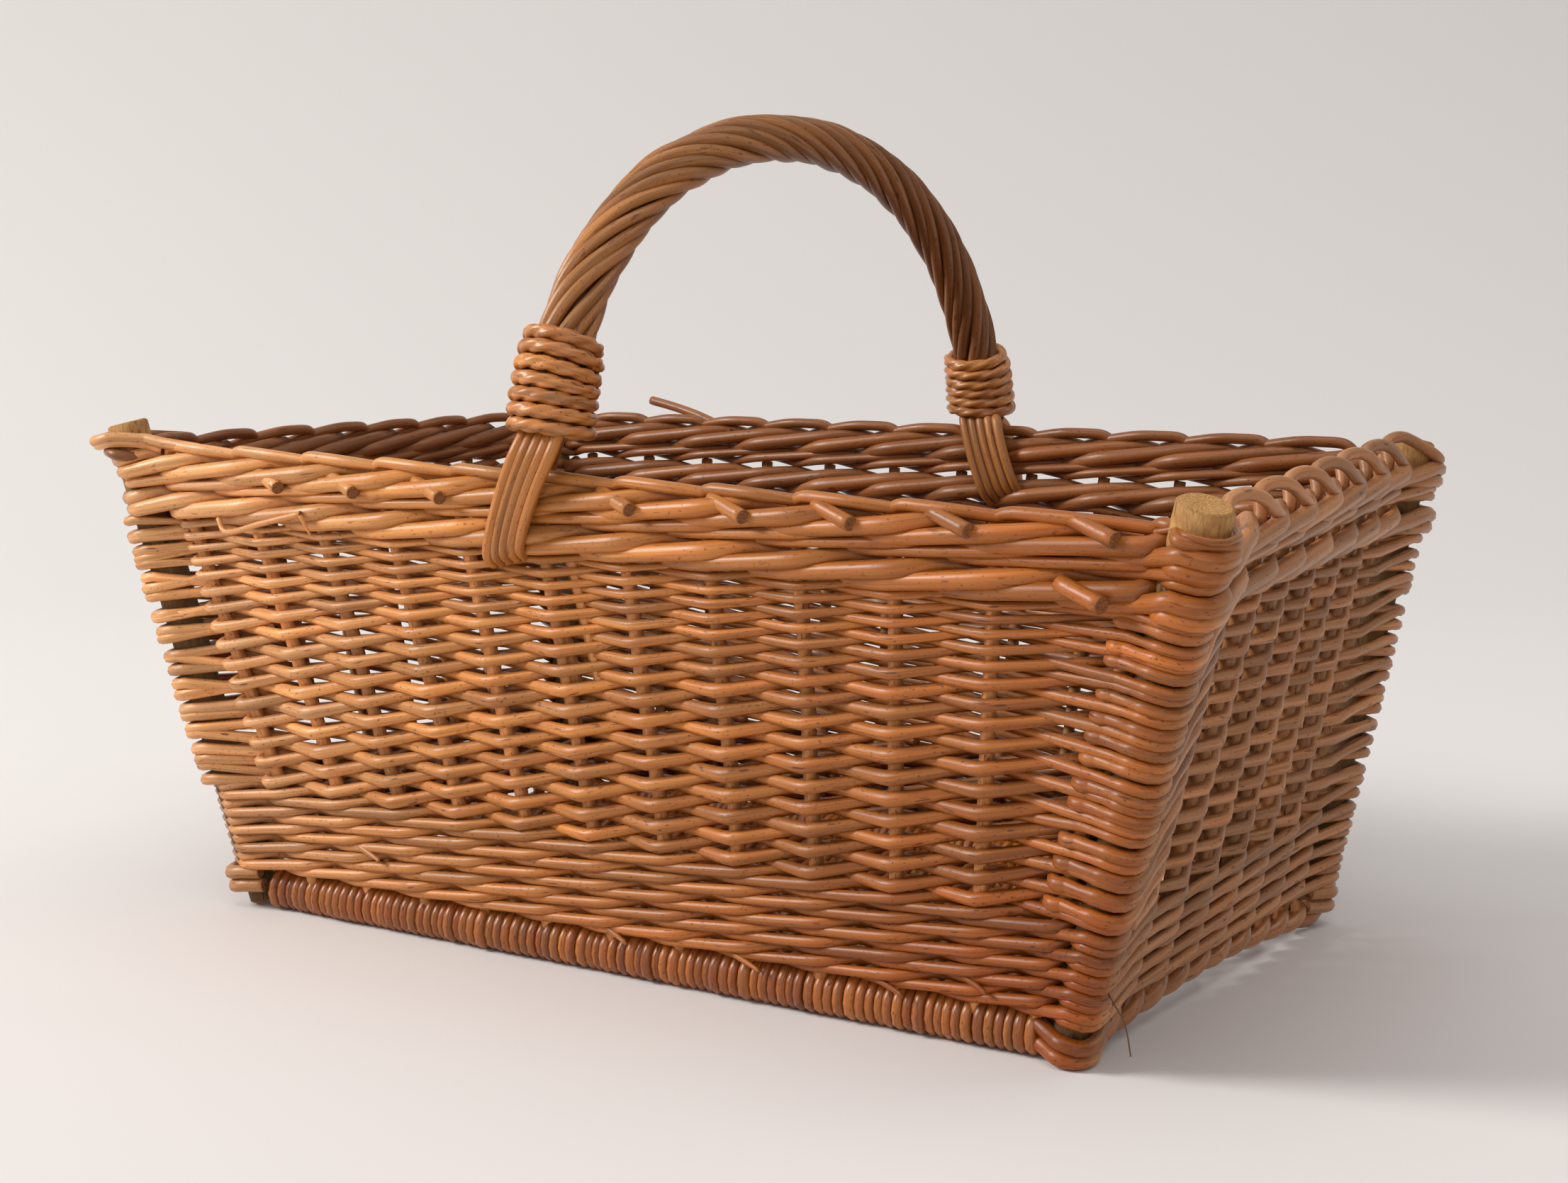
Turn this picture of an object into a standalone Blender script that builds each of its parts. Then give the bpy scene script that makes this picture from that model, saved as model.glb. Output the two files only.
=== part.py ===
"""Woven willow shopping basket with a fixed bow handle.

Four thick corner posts lean outwards from a stick-framed base. Thin stakes stand between
them, and each layer of weaving is a closed solid with channels for the stakes and posts:
upsett at the foot, four siding panels, a top wale and a border. The handle is a bow with a
roping sleeve, two bindings and a fan of rod ends on each side of both rims.
Metres, +Z up. +X runs along the basket, -Y is its front long side.
"""
import math

import bmesh
import bpy
from mathutils import Vector

# --- driving dimensions -------------------------------------------------------------------

# corner: (centre of the post's top, centre of its foot, radius at the top)
POSTS = {
    "front_left": ((-0.245, -0.141, 0.211), (-0.202, -0.110, 0.0), 0.0085),
    "front_right": ((0.245, -0.139, 0.200), (0.183, -0.105, 0.0), 0.0095),
    "rear_right": ((0.220, 0.140, 0.205), (0.189, 0.105, 0.0), 0.0090),
    "rear_left": ((-0.245, 0.144, 0.205), (-0.202, 0.107, 0.0), 0.0085),
}
POST_FOOT_RADIUS = 0.0065
POST_SIDES = 12

# wall: (first corner, last corner, number of evenly spaced stakes, gap from post to first and
# last stake at the foot, the same two gaps at the top)
WALLS = {
    "front": ("front_left", "front_right", 11, (0.036, 0.035), (0.022, 0.072)),
    "right": ("front_right", "rear_right", 7, (0.027, 0.027), (0.034, 0.034)),
    "rear": ("rear_right", "rear_left", 12, (0.027, 0.027), (0.026, 0.026)),
    "left": ("rear_left", "front_left", 7, (0.027, 0.027), (0.034, 0.034)),
}
# walls with one more stake right beside their last post, and how far it is from the post
CORNER_STAKE_GAPS = {"front": 0.0140}
STAKE_RADIUS = 0.0028
STAKE_SIDES = 6

# layers of weaving, as fractions of the corner posts' height, and half their thickness
UPSETT_SPAN, UPSETT_HALF = (0.066, 0.270), 0.0075
SIDING_SPAN, SIDING_HALF = (0.273, 0.814), 0.0060
TOP_WALE_SPAN, TOP_WALE_HALF = (0.817, 0.894), 0.0085
BORDER_SPAN, BORDER_HALF = (0.898, 0.956), 0.0090
STAKE_SPAN = (0.064, 0.892)
COLLAR_WALL = 0.0035
COLLAR_MARGIN = 0.0035          # fraction of the height by which a collar is shorter than its ring
PANEL_END_GAP = 0.0008
POST_CHANNEL_SPAN = (0.03, 1.10)
STAKE_CHANNEL_REACH = 0.02      # fraction of its length by which a stake's channel is longer

BASE_THICKNESS = 0.0124
BASE_SIDE_OVERHANG = 0.0060
BASE_END_OVERHANG = 0.0050
BASE_NOTCH = 0.0085
BASE_STICK_RADIUS = 0.0042
BASE_STICK_INSET = 0.0015
BASE_STICK_END_GAP = 0.0005
BASE_BORE_REACH = 0.0050

# the handle's arch is a slightly squared half ellipse between the two long rims
ARCH_HALF_SPAN = 0.141
ARCH_FOOT_HEIGHT = 0.201
ARCH_RISE = 0.1277
ARCH_FULLNESS = 2.07
ARCH_FRONT_X = -0.0143
ARCH_REAR_X = 0.0154
BOW_RADIUS = 0.0042
BOW_TIP_HEIGHT = 0.1690
BOW_TIP_INSET = 0.0056
BOW_ARCH_START = 0.0040         # height above the arch's foot where the straight tips begin
BOW_BORE_REACH = 0.12           # fraction of a tip's length by which its bore is longer
ROPING_RADIUS = 0.0104
BINDING_RADIUS = {"front": 0.0172, "rear": 0.0160}
BINDING_SPAN = {"front": (0.2115, 0.2490), "rear": (0.2090, 0.2400)}
BINDING_BORE_REACH = (0.0030, 0.0060)
ARCH_STEPS = 36
ROPING_STEPS = 30
BINDING_STEPS = 4

# fan of rod ends: top centre, where it passes the border, and its tip, all (x, distance
# from the border's mid line, z); the distance is outwards for the outer fans
FAN_WIDTH = 0.0220
FAN_THICKNESS = 0.0040
FANS = {
    "front": ((-0.0160, 0.0078, 0.2088), (-0.0215, 0.0126, 0.1990), (-0.0430, 0.0112, 0.1640)),
    "rear": ((0.0154, 0.0078, 0.2064), (0.0170, 0.0126, 0.1990), (0.0255, 0.0114, 0.1700)),
}

CLEARANCE = 0.00035
WELD_DISTANCE = 0.00001
SHARP_ANGLE = math.radians(35)

COLOURS = {
    "post": (0.42, 0.24, 0.08, 1.0),
    "stake": (0.36, 0.17, 0.05, 1.0),
    "siding": (0.45, 0.21, 0.06, 1.0),
    "wale": (0.47, 0.23, 0.07, 1.0),
    "border": (0.50, 0.26, 0.08, 1.0),
    "base": (0.30, 0.12, 0.04, 1.0),
    "handle": (0.43, 0.23, 0.07, 1.0),
    "binding": (0.46, 0.21, 0.07, 1.0),
}


# --- scene, materials and small helpers ---------------------------------------------------

def clear_scene():
    for old in list(bpy.data.objects):
        bpy.data.objects.remove(old, do_unlink=True)


def make_collection(name):
    collection = bpy.data.collections.new(name)
    bpy.context.scene.collection.children.link(collection)
    return collection


def willow(node, kind):
    """Each sub-part has its own satin willow material."""
    material = bpy.data.materials.new(node + "_willow")
    material.use_nodes = True
    shader = material.node_tree.nodes["Principled BSDF"]
    shader.inputs["Base Color"].default_value = COLOURS[kind]
    shader.inputs["Roughness"].default_value = 0.45
    shader.inputs["Metallic"].default_value = 0.0
    return material


def object_from_bmesh(name, bm, collection):
    bmesh.ops.recalc_face_normals(bm, faces=bm.faces)
    mesh = bpy.data.meshes.new(name)
    bm.to_mesh(mesh)
    bm.free()
    obj = bpy.data.objects.new(name, mesh)
    collection.objects.link(obj)
    return obj


def finish_part(obj, kind):
    obj.data.materials.clear()
    obj.data.materials.append(willow(obj.name, kind))
    obj.data.shade_smooth()
    obj.data.set_sharp_from_angle(angle=SHARP_ANGLE)
    return obj


def as_cutter(obj):
    obj.hide_render = True
    obj.display_type = "WIRE"
    return obj


def combine(obj, cutter, operation):
    modifier = obj.modifiers.new(operation.lower() + "_" + cutter.name, "BOOLEAN")
    modifier.operation = operation
    modifier.solver = "EXACT"
    modifier.object = cutter


def cut_all(obj, cutters):
    """One modifier that removes a whole collection of cutters."""
    modifier = obj.modifiers.new("channels", "BOOLEAN")
    modifier.operation = "DIFFERENCE"
    modifier.solver = "EXACT"
    modifier.operand_type = "COLLECTION"
    modifier.collection = cutters


# --- the shape of the walls ---------------------------------------------------------------

def post_centre(corner, height):
    """Centre of a corner post at a fraction of its height."""
    top, foot, _ = POSTS[corner]
    return Vector(foot).lerp(Vector(top), height)


def post_radius(corner, height):
    return POST_FOOT_RADIUS + (POSTS[corner][2] - POST_FOOT_RADIUS) * height


def wall_direction(wall, height):
    """Unit vector along a wall in plan, and the one pointing out of the basket."""
    first, last = WALLS[wall][:2]
    along = post_centre(last, height) - post_centre(first, height)
    along.z = 0.0
    along.normalize()
    outwards = Vector((along.y, -along.x, 0.0))
    return along, outwards


def wall_point(wall, fraction, height):
    first, last = WALLS[wall][:2]
    return post_centre(first, height).lerp(post_centre(last, height), fraction)


def stake_fraction(wall, index, height):
    """Where a stake stands along its wall, from its gaps at the foot and the top."""
    first, last, count, foot_gaps, top_gaps = WALLS[wall]
    length = (post_centre(last, height) - post_centre(first, height)).length
    if index == count:
        return 1.0 - CORNER_STAKE_GAPS[wall] / length
    start = foot_gaps[0] + (top_gaps[0] - foot_gaps[0]) * height
    end = foot_gaps[1] + (top_gaps[1] - foot_gaps[1]) * height
    return (start + (length - start - end) * index / (count - 1)) / length


def mitre_corner(corner, height, offset):
    """Corner of the outline that lies an offset outside the walls' mid lines."""
    before = next(wall for wall in WALLS if WALLS[wall][1] == corner)
    after = next(wall for wall in WALLS if WALLS[wall][0] == corner)
    out_before = wall_direction(before, height)[1]
    out_after = wall_direction(after, height)[1]
    bisector = out_before + out_after
    return post_centre(corner, height) + bisector * (2.0 * offset / bisector.length_squared)


# --- shape builders -----------------------------------------------------------------------

def slanted_rod(name, foot, top, foot_radius, top_radius, sides, collection):
    """Tapered rod with level ends, sheared so that it leans from its foot to its top."""
    bm = bmesh.new()
    bmesh.ops.create_cone(bm, cap_ends=True, segments=sides, radius1=foot_radius,
                          radius2=top_radius, depth=2.0)
    foot, top = Vector(foot), Vector(top)
    for vertex in bm.verts:
        centre = top if vertex.co.z > 0 else foot
        vertex.co = Vector((vertex.co.x, vertex.co.y, 0.0)) + centre
    return object_from_bmesh(name, bm, collection)


def rod_on_line(name, line, span, radii, sides, collection, extra=0.0):
    """Slanted rod along line(height) over a span of heights; radii are (foot, top)."""
    low, high = span
    foot_radius = radii(low) + extra
    top_radius = radii(high) + extra
    return slanted_rod(name, line(low), line(high), foot_radius, top_radius, sides, collection)


def loft(name, sections, closed, collection):
    """Skin between rings of points; closed joins the last ring to the first."""
    bm = bmesh.new()
    rings = [[bm.verts.new(point) for point in section] for section in sections]
    count = len(rings[0])
    pairs = list(zip(rings, rings[1:]))
    if closed:
        pairs.append((rings[-1], rings[0]))
    for ring, following in pairs:
        for i in range(count):
            j = (i + 1) % count
            bm.faces.new((ring[i], ring[j], following[j], following[i]))
    if not closed:
        bm.faces.new(rings[0])
        bm.faces.new(rings[-1])
    bmesh.ops.triangulate(bm, faces=bm.faces)
    return object_from_bmesh(name, bm, collection)


def weaving_ring(name, span, half, collection, cutters, openings):
    """Band of weaving round all four sides, with a collar round each corner post."""
    low, high = span
    sections = []
    for corner in POSTS:
        sections.append([
            mitre_corner(corner, low, -half),
            mitre_corner(corner, low, half),
            mitre_corner(corner, high, half),
            mitre_corner(corner, high, -half),
        ])
    ring = loft(name, sections, True, collection)
    for corner in POSTS:
        collar = as_cutter(rod_on_line(
            name + "_collar_" + corner,
            lambda height, c=corner: post_centre(c, height),
            (low + COLLAR_MARGIN, high - COLLAR_MARGIN),
            lambda height, c=corner: post_radius(c, height),
            POST_SIDES, cutters, extra=COLLAR_WALL))
        combine(ring, collar, "UNION")
    cut_all(ring, openings)
    return ring


def siding_panel(wall, collection, openings):
    """Flat-ended panel of plain weaving between two corner posts."""
    first, last = WALLS[wall][:2]
    sections = []
    for height in SIDING_SPAN:
        along, outwards = wall_direction(wall, height)
        start = post_centre(first, height) + along * (post_radius(first, height) + PANEL_END_GAP)
        end = post_centre(last, height) - along * (post_radius(last, height) + PANEL_END_GAP)
        side = outwards * SIDING_HALF
        sections.append([start - side, start + side, end + side, end - side])
    panel = loft(wall + "_siding", sections, False, collection)
    cut_all(panel, openings)
    return panel


def tube_mesh(name, points, radius, sides_resolution, collection):
    """Tube along a polyline with filled, welded caps."""
    curve = bpy.data.curves.new(name + "_path", "CURVE")
    curve.dimensions = "3D"
    curve.bevel_depth = radius
    curve.bevel_resolution = sides_resolution
    curve.use_fill_caps = True
    spline = curve.splines.new("POLY")
    spline.points.add(len(points) - 1)
    for target, point in zip(spline.points, points):
        target.co = (*point, 1.0)
    path = bpy.data.objects.new(name + "_path", curve)
    collection.objects.link(path)
    graph = bpy.context.evaluated_depsgraph_get()
    mesh = bpy.data.meshes.new_from_object(path.evaluated_get(graph))
    bm = bmesh.new()
    bm.from_mesh(mesh)
    bmesh.ops.remove_doubles(bm, verts=bm.verts, dist=WELD_DISTANCE)
    obj = object_from_bmesh(name, bm, collection)
    obj.matrix_world = path.matrix_world
    bpy.data.objects.remove(path, do_unlink=True)
    return obj


# --- the sub-parts ------------------------------------------------------------------------

def build_posts(parts, openings):
    for corner in POSTS:
        line = lambda height, c=corner: post_centre(c, height)
        radii = lambda height, c=corner: post_radius(c, height)
        name = corner + "_corner_post"
        post = rod_on_line(name, line, (0.0, 1.0), radii, POST_SIDES, parts)
        finish_part(post, "post")
        as_cutter(rod_on_line(name + "_channel", line, POST_CHANNEL_SPAN, radii,
                              POST_SIDES, openings, extra=CLEARANCE))


def build_stakes(parts, openings):
    for wall in WALLS:
        count = WALLS[wall][2] + (wall in CORNER_STAKE_GAPS)
        for index in range(count):
            low, high = STAKE_SPAN
            foot = wall_point(wall, stake_fraction(wall, index, low), low)
            top = wall_point(wall, stake_fraction(wall, index, high), high)
            name = f"{wall}_stake_{index + 1:02d}"
            stake = slanted_rod(name, foot, top, STAKE_RADIUS, STAKE_RADIUS, STAKE_SIDES, parts)
            finish_part(stake, "stake")
            reach = (top - foot) * STAKE_CHANNEL_REACH
            channel = STAKE_RADIUS + CLEARANCE
            as_cutter(slanted_rod(name + "_channel", foot - reach, top + reach, channel,
                                  channel, STAKE_SIDES, openings))


def build_base(parts, cutters):
    """Woven base slab, notched round the posts, on two wrapped outer sticks."""
    feet = {corner: Vector(POSTS[corner][1]) for corner in POSTS}
    signs = {"front_left": (-1, -1), "front_right": (1, -1), "rear_right": (1, 1),
             "rear_left": (-1, 1)}
    outline = []
    for corner, (sx, sy) in signs.items():
        foot = feet[corner]
        inner_x = foot.x - sx * BASE_NOTCH
        inner_y = foot.y - sy * BASE_NOTCH
        side = (inner_x, foot.y + sy * BASE_SIDE_OVERHANG)
        notch = (inner_x, inner_y)
        end = (foot.x + sx * BASE_END_OVERHANG, inner_y)
        outline += [side, notch, end] if sx * sy < 0 else [end, notch, side]
    bm = bmesh.new()
    floor = bm.faces.new([bm.verts.new((x, y, 0.0)) for x, y in outline])
    risen = bmesh.ops.extrude_face_region(bm, geom=[floor])
    for item in risen["geom"]:
        if isinstance(item, bmesh.types.BMVert):
            item.co.z = BASE_THICKNESS
    slab = object_from_bmesh("base_weave", bm, parts)
    for name, first, last, sy in (("front_base_stick", "front_left", "front_right", -1),
                                  ("rear_base_stick", "rear_left", "rear_right", 1)):
        inset = Vector((0.0, -sy * BASE_STICK_INSET, BASE_THICKNESS / 2))
        start, end = feet[first] + inset, feet[last] + inset
        along = (end - start).normalized()
        start += along * (BASE_NOTCH - BASE_STICK_END_GAP)
        end -= along * (BASE_NOTCH - BASE_STICK_END_GAP)
        stick = tube_mesh(name, [start, end], BASE_STICK_RADIUS, 2, parts)
        finish_part(stick, "base")
        reach = along * BASE_BORE_REACH
        bore = as_cutter(tube_mesh(name + "_bore", [start - reach, end + reach],
                                   BASE_STICK_RADIUS + CLEARANCE, 2, cutters))
        combine(slab, bore, "DIFFERENCE")
    finish_part(slab, "base")


def build_weaving(parts, cutters, stake_openings, rim_openings):
    weaving = (
        ("upsett", UPSETT_SPAN, UPSETT_HALF, stake_openings, "wale"),
        ("top_wale", TOP_WALE_SPAN, TOP_WALE_HALF, rim_openings, "wale"),
        ("border", BORDER_SPAN, BORDER_HALF, rim_openings, "border"),
    )
    for name, span, half, openings, kind in weaving:
        finish_part(weaving_ring(name, span, half, parts, cutters, openings), kind)
    for wall in WALLS:
        finish_part(siding_panel(wall, parts, stake_openings), "siding")


def arch_point(angle):
    """Point of the handle's centre line; 0 is the front foot and pi the rear foot."""
    power = 2.0 / ARCH_FULLNESS
    across, up = math.cos(angle), math.sin(angle)
    y = -ARCH_HALF_SPAN * math.copysign(abs(across) ** power, across)
    z = ARCH_FOOT_HEIGHT + ARCH_RISE * max(up, 0.0) ** power
    half = (y + ARCH_HALF_SPAN) / (2 * ARCH_HALF_SPAN)
    return Vector((ARCH_FRONT_X + (ARCH_REAR_X - ARCH_FRONT_X) * half, y, z))


def arch_between(start_height, end_height, steps):
    """Centre line from a height on the front leg to a height on the rear leg."""
    power = ARCH_FULLNESS / 2.0
    start = math.asin(((start_height - ARCH_FOOT_HEIGHT) / ARCH_RISE) ** power)
    end = math.pi - math.asin(((end_height - ARCH_FOOT_HEIGHT) / ARCH_RISE) ** power)
    return [arch_point(start + (end - start) * i / steps) for i in range(steps + 1)]


def leg_between(side, low, high, steps):
    """Short stretch of one handle leg."""
    points = []
    for i in range(steps + 1):
        height = low + (high - low) * i / steps
        angle = math.asin(((height - ARCH_FOOT_HEIGHT) / ARCH_RISE) ** (ARCH_FULLNESS / 2.0))
        points.append(arch_point(angle if side == "front" else math.pi - angle))
    return points


def build_handle(parts, cutters, rim_openings):
    foot_height = ARCH_FOOT_HEIGHT + BOW_ARCH_START
    path = arch_between(foot_height, foot_height, ARCH_STEPS)
    tips = []
    for end, sign in ((path[0], 1), (path[-1], -1)):
        tips.append(Vector((end.x, end.y + sign * BOW_TIP_INSET, BOW_TIP_HEIGHT)))
    bow_path = [tips[0]] + path + [tips[1]]
    bow = tube_mesh("handle_bow", bow_path, BOW_RADIUS, 2, parts)
    finish_part(bow, "handle")
    beyond = [tips[0].lerp(path[0], -BOW_BORE_REACH), tips[1].lerp(path[-1], -BOW_BORE_REACH)]
    bow_bore_path = [beyond[0]] + path + [beyond[1]]
    as_cutter(tube_mesh("handle_bow_bore", bow_bore_path, BOW_RADIUS + CLEARANCE, 2,
                        rim_openings))

    front_low, rear_low = BINDING_SPAN["front"][0], BINDING_SPAN["rear"][0]
    roping_path = arch_between(front_low, rear_low, ROPING_STEPS)
    roping = tube_mesh("handle_roping", roping_path, ROPING_RADIUS, 4, parts)
    bow_bore = as_cutter(tube_mesh("roping_bore", path, BOW_RADIUS + CLEARANCE, 2, cutters))
    combine(roping, bow_bore, "DIFFERENCE")
    finish_part(roping, "handle")

    for side, (low, high) in BINDING_SPAN.items():
        leg = leg_between(side, low, high, BINDING_STEPS)
        binding = tube_mesh(side + "_handle_binding", leg, BINDING_RADIUS[side], 6, parts)
        below, above = BINDING_BORE_REACH
        wide = leg_between(side, low - below, high + above, BINDING_STEPS + 2)
        bore = as_cutter(tube_mesh(side + "_binding_bore", wide, ROPING_RADIUS + 2 * CLEARANCE,
                                   4, cutters))
        combine(binding, bore, "DIFFERENCE")
        finish_part(binding, "binding")

    for side, places in FANS.items():
        sign = -1 if side == "front" else 1
        for placing, outwards in (("outer", 1), ("inner", -1)):
            sections = [fan_section(place, sign, outwards) for place in places]
            fan = loft(f"{side}_{placing}_handle_fan", sections, False, parts)
            finish_part(fan, "handle")


def fan_section(place, sign, outwards):
    """Level section of a flat bundle of rod ends beside the rim."""
    x, distance, z = place
    wall = "front" if sign < 0 else "rear"
    height = z / (sum(POSTS[corner][0][2] for corner in WALLS[wall][:2]) / 2)
    middle = wall_point(wall, 0.5, height).y
    y = middle + sign * outwards * distance
    half_x, half_y = FAN_WIDTH / 2, FAN_THICKNESS / 2
    return [Vector((x + dx * half_x, y + dy * half_y, z))
            for dx, dy in ((-1, -1), (1, -1), (1, 1), (-1, 1))]


def centre_on_origin(objects):
    """Put the middle of the whole basket's box over the origin."""
    graph = bpy.context.evaluated_depsgraph_get()
    low, high = Vector((1e9,) * 3), Vector((-1e9,) * 3)
    for obj in objects:
        if obj.hide_render:
            continue
        for vertex in obj.evaluated_get(graph).data.vertices:
            point = obj.matrix_world @ vertex.co
            low = Vector(map(min, low, point))
            high = Vector(map(max, high, point))
    middle = (low + high) / 2
    for obj in objects:
        obj.location.x -= middle.x
        obj.location.y -= middle.y


def main():
    clear_scene()
    parts = make_collection("wicker_basket")
    cutters = make_collection("cutters")
    stake_openings = make_collection("stake_and_post_channels")
    build_posts(parts, stake_openings)
    build_stakes(parts, stake_openings)
    build_base(parts, cutters)
    rim_openings = make_collection("rim_channels")
    for channel in stake_openings.objects:
        rim_openings.objects.link(channel)
    build_handle(parts, cutters, rim_openings)
    build_weaving(parts, cutters, stake_openings, rim_openings)
    everything = list(parts.objects) + list(cutters.objects) + list(rim_openings.objects)
    centre_on_origin(everything)


main()
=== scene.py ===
"""Looks of the woven willow basket: every rod of the weave, the rim, the base and the handle.

Each rod is a tube that follows a course round the basket's uprights (corner posts and stakes),
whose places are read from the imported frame. A place is an upright's number, counted from the
front left post round the front, right, rear and left walls, plus a share of the way to the
next. A level is a share of an upright's height. Metres, +Z up, the front long side faces -Y.
"""
import math

import bpy
import numpy as np
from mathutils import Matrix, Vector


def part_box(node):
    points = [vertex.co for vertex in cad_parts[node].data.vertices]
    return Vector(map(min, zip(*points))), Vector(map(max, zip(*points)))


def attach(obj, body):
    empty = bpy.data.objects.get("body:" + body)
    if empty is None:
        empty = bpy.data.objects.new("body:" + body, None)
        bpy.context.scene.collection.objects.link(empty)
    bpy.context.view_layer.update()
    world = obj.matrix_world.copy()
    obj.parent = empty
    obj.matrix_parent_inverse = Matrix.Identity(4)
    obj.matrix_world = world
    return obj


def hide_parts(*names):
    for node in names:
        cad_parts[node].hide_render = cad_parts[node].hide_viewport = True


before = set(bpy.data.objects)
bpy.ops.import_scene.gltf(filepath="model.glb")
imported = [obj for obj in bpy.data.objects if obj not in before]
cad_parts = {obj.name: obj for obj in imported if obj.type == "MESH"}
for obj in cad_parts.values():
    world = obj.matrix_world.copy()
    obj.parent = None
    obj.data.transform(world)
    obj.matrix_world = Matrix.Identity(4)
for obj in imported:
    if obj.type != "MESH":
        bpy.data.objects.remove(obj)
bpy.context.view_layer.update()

TAU = 2 * math.pi
MM = 0.001
UP = np.array([0.0, 0.0, 1.0])
EAST = np.array([1.0, 0.0, 0.0])
CLOSE = 1e-6                # places nearer than this are the same
rng = np.random.default_rng(811)

# --- sizes that the frame doesn't give ---

WALLS = ("front", "right", "rear", "left")
CORNERS = ("front_left", "front_right", "rear_right", "rear_left")

# Radii of the rods
STAKE_ROD = 2.8 * MM
UPSETT_ROD = 1.9 * MM
WALE_ROD = 3.1 * MM
PAIRING_ROD = 2.0 * MM
BORDER_ROD = 2.9 * MM
CORNER_ROD = 3.0 * MM
BASE_STICK = 3.0 * MM
BASE_WEAVER = 2.0 * MM
COIL_ROD = 2.05 * MM
EDGE_ROD = 3.3 * MM
BOW_ROD = 4.2 * MM
ROPING_ROD = 2.45 * MM
FAN_ROD = 2.4 * MM

FRONT_ROWS = 32             # rows of siding, every second one in front of any one stake
SIDE_ROWS = 26
TURNED_ROWS = 13            # side rods that turn round the front's last stake
TUCKED_ROWS = 10            # side rods that end behind the front's first stake
ENDED_RODS = (4, 9, 14)     # front rods that stop just past the front right corner
FIRST_ROW = -0.7            # row at which a rod starts below its wall
LAST_ROW_END = 0.5          # rows past the top one at which a rod ends
STEEPNESS = 0.76            # share of its climb that a rod makes before it passes a stake inside
SIDING_OVERLAP = 0.010      # how far the siding goes up behind the wale, as a level
STAKE_STAND_OUT = 0.8 * MM  # how far the stakes stand out of the middle of the weave
UPSETT_ROUNDS = 5
REAR_RIM_RISE = 5.0 * MM    # how much higher the rim stands at the rear than at the front
CUT_ENDS = [(x * MM, 0.189) for x in (-149.6, -108.5, -63.3, 27.1, 76.4, 120.3, 165.5, 217.9)]
LOW_CUT_END = 213.6 * MM, 168.5 * MM
COIL_RISE = 2.2 * MM        # how much higher the base coil's middle lies than its stick
INNER_STICKS = 6
BASE_WEAVERS = 88
FLOOR_GAP = 0.2 * MM        # under the lowest rods
CORNER_POWER = 3.6          # how square the rods' bend round a corner post is: 2 is a circle
SPAN_SAMPLES = 10           # samples along a siding rod from one upright to the next
CORNER_SAMPLES = 5
ROD_UNEVENNESS = 0.07       # of a rod's radius along its length
NO_CUT = (False, False)     # a rod with neither end cut in sight


# --- small maths ---

def lerp(a, b, t):
    return a + (b - a) * t


def smooth(t):
    t = np.clip(t, 0.0, 1.0)
    return t * t * (3 - 2 * t)


def unit(v):
    return v / np.linalg.norm(v, axis=-1, keepdims=True)


def column(t):
    return t[:, None]


def box_of(node):
    low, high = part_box(node)
    return np.array(low), np.array(high)


def srgb(*levels):
    """Linear colour from 0-255 display levels."""
    c = np.array(levels, float) / 255
    return np.where(c <= 0.04045, c / 12.92, ((c + 0.055) / 1.055) ** 2.4)


def wobble(distance, wavelength):
    """Smooth random curve, about -1 to 1, with one value for each distance."""
    a, b, c = rng.uniform(0, TAU, 3)
    turn = TAU * distance / wavelength
    return (np.sin(turn + a) + 0.6 * np.sin(2.3 * turn + b) + 0.5 * np.sin(0.43 * turn + c)) / 2


def lengths_along(points):
    steps = np.linalg.norm(np.diff(points, axis=0), axis=1)
    return np.concatenate([[0.0], np.cumsum(steps)])


def straight(low, high, count):
    return low + (high - low) * column(np.linspace(0, 1, count))


def through(controls, samples=6):
    """Smooth path through control points (Catmull-Rom)."""
    controls = np.asarray(controls, float)
    padded = np.vstack([2 * controls[0] - controls[1], controls, 2 * controls[-1] - controls[-2]])
    t = column(np.arange(samples) / samples)
    pieces = []
    for i in range(1, len(padded) - 2):
        a, b, c, d = padded[i - 1:i + 3]
        pieces.append(0.5 * (2 * b + (c - a) * t + (2 * a - 5 * b + 4 * c - d) * t ** 2
                             + (3 * b - a - 3 * c + d) * t ** 3))
    pieces.append(controls[-1:])
    return np.vstack(pieces)


# --- uprights from the frame ---

def rod_line(node, end_share=0.15):
    """Centres of a straight CAD rod's lower and upper end, and its radius at each."""
    points = np.array([v.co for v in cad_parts[node].data.vertices], float)
    heights = points[:, 2]
    reach = end_share * (heights.max() - heights.min())
    ends = points[heights < heights.min() + reach], points[heights > heights.max() - reach]
    centres = [(end.min(0) + end.max(0)) / 2 for end in ends]
    radii = [(end[:, 0].max() - end[:, 0].min()) / 2 for end in ends]
    return *centres, *radii


def extended_to(low, high, z):
    return low + (high - low) * (z - low[2]) / (high[2] - low[2])


def stake_names(wall):
    return sorted(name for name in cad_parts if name.startswith(f"{wall}_stake_"))


POSTS = [rod_line(f"{corner}_corner_post") for corner in CORNERS]


def make_uprights():
    """Foot, top and wall number of every upright."""
    uprights = []
    for wall, name in enumerate(WALLS):
        post, next_post = POSTS[wall], POSTS[(wall + 1) % 4]
        uprights.append((post[0], post[1], wall))
        stakes = stake_names(name)
        for i, stake in enumerate(stakes, 1):
            low, high, _, _ = rod_line(stake)
            rim = lerp(post[1][2], next_post[1][2], i / (len(stakes) + 1))
            uprights.append((extended_to(low, high, 0.0), extended_to(low, high, rim), wall))
    return uprights


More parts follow.
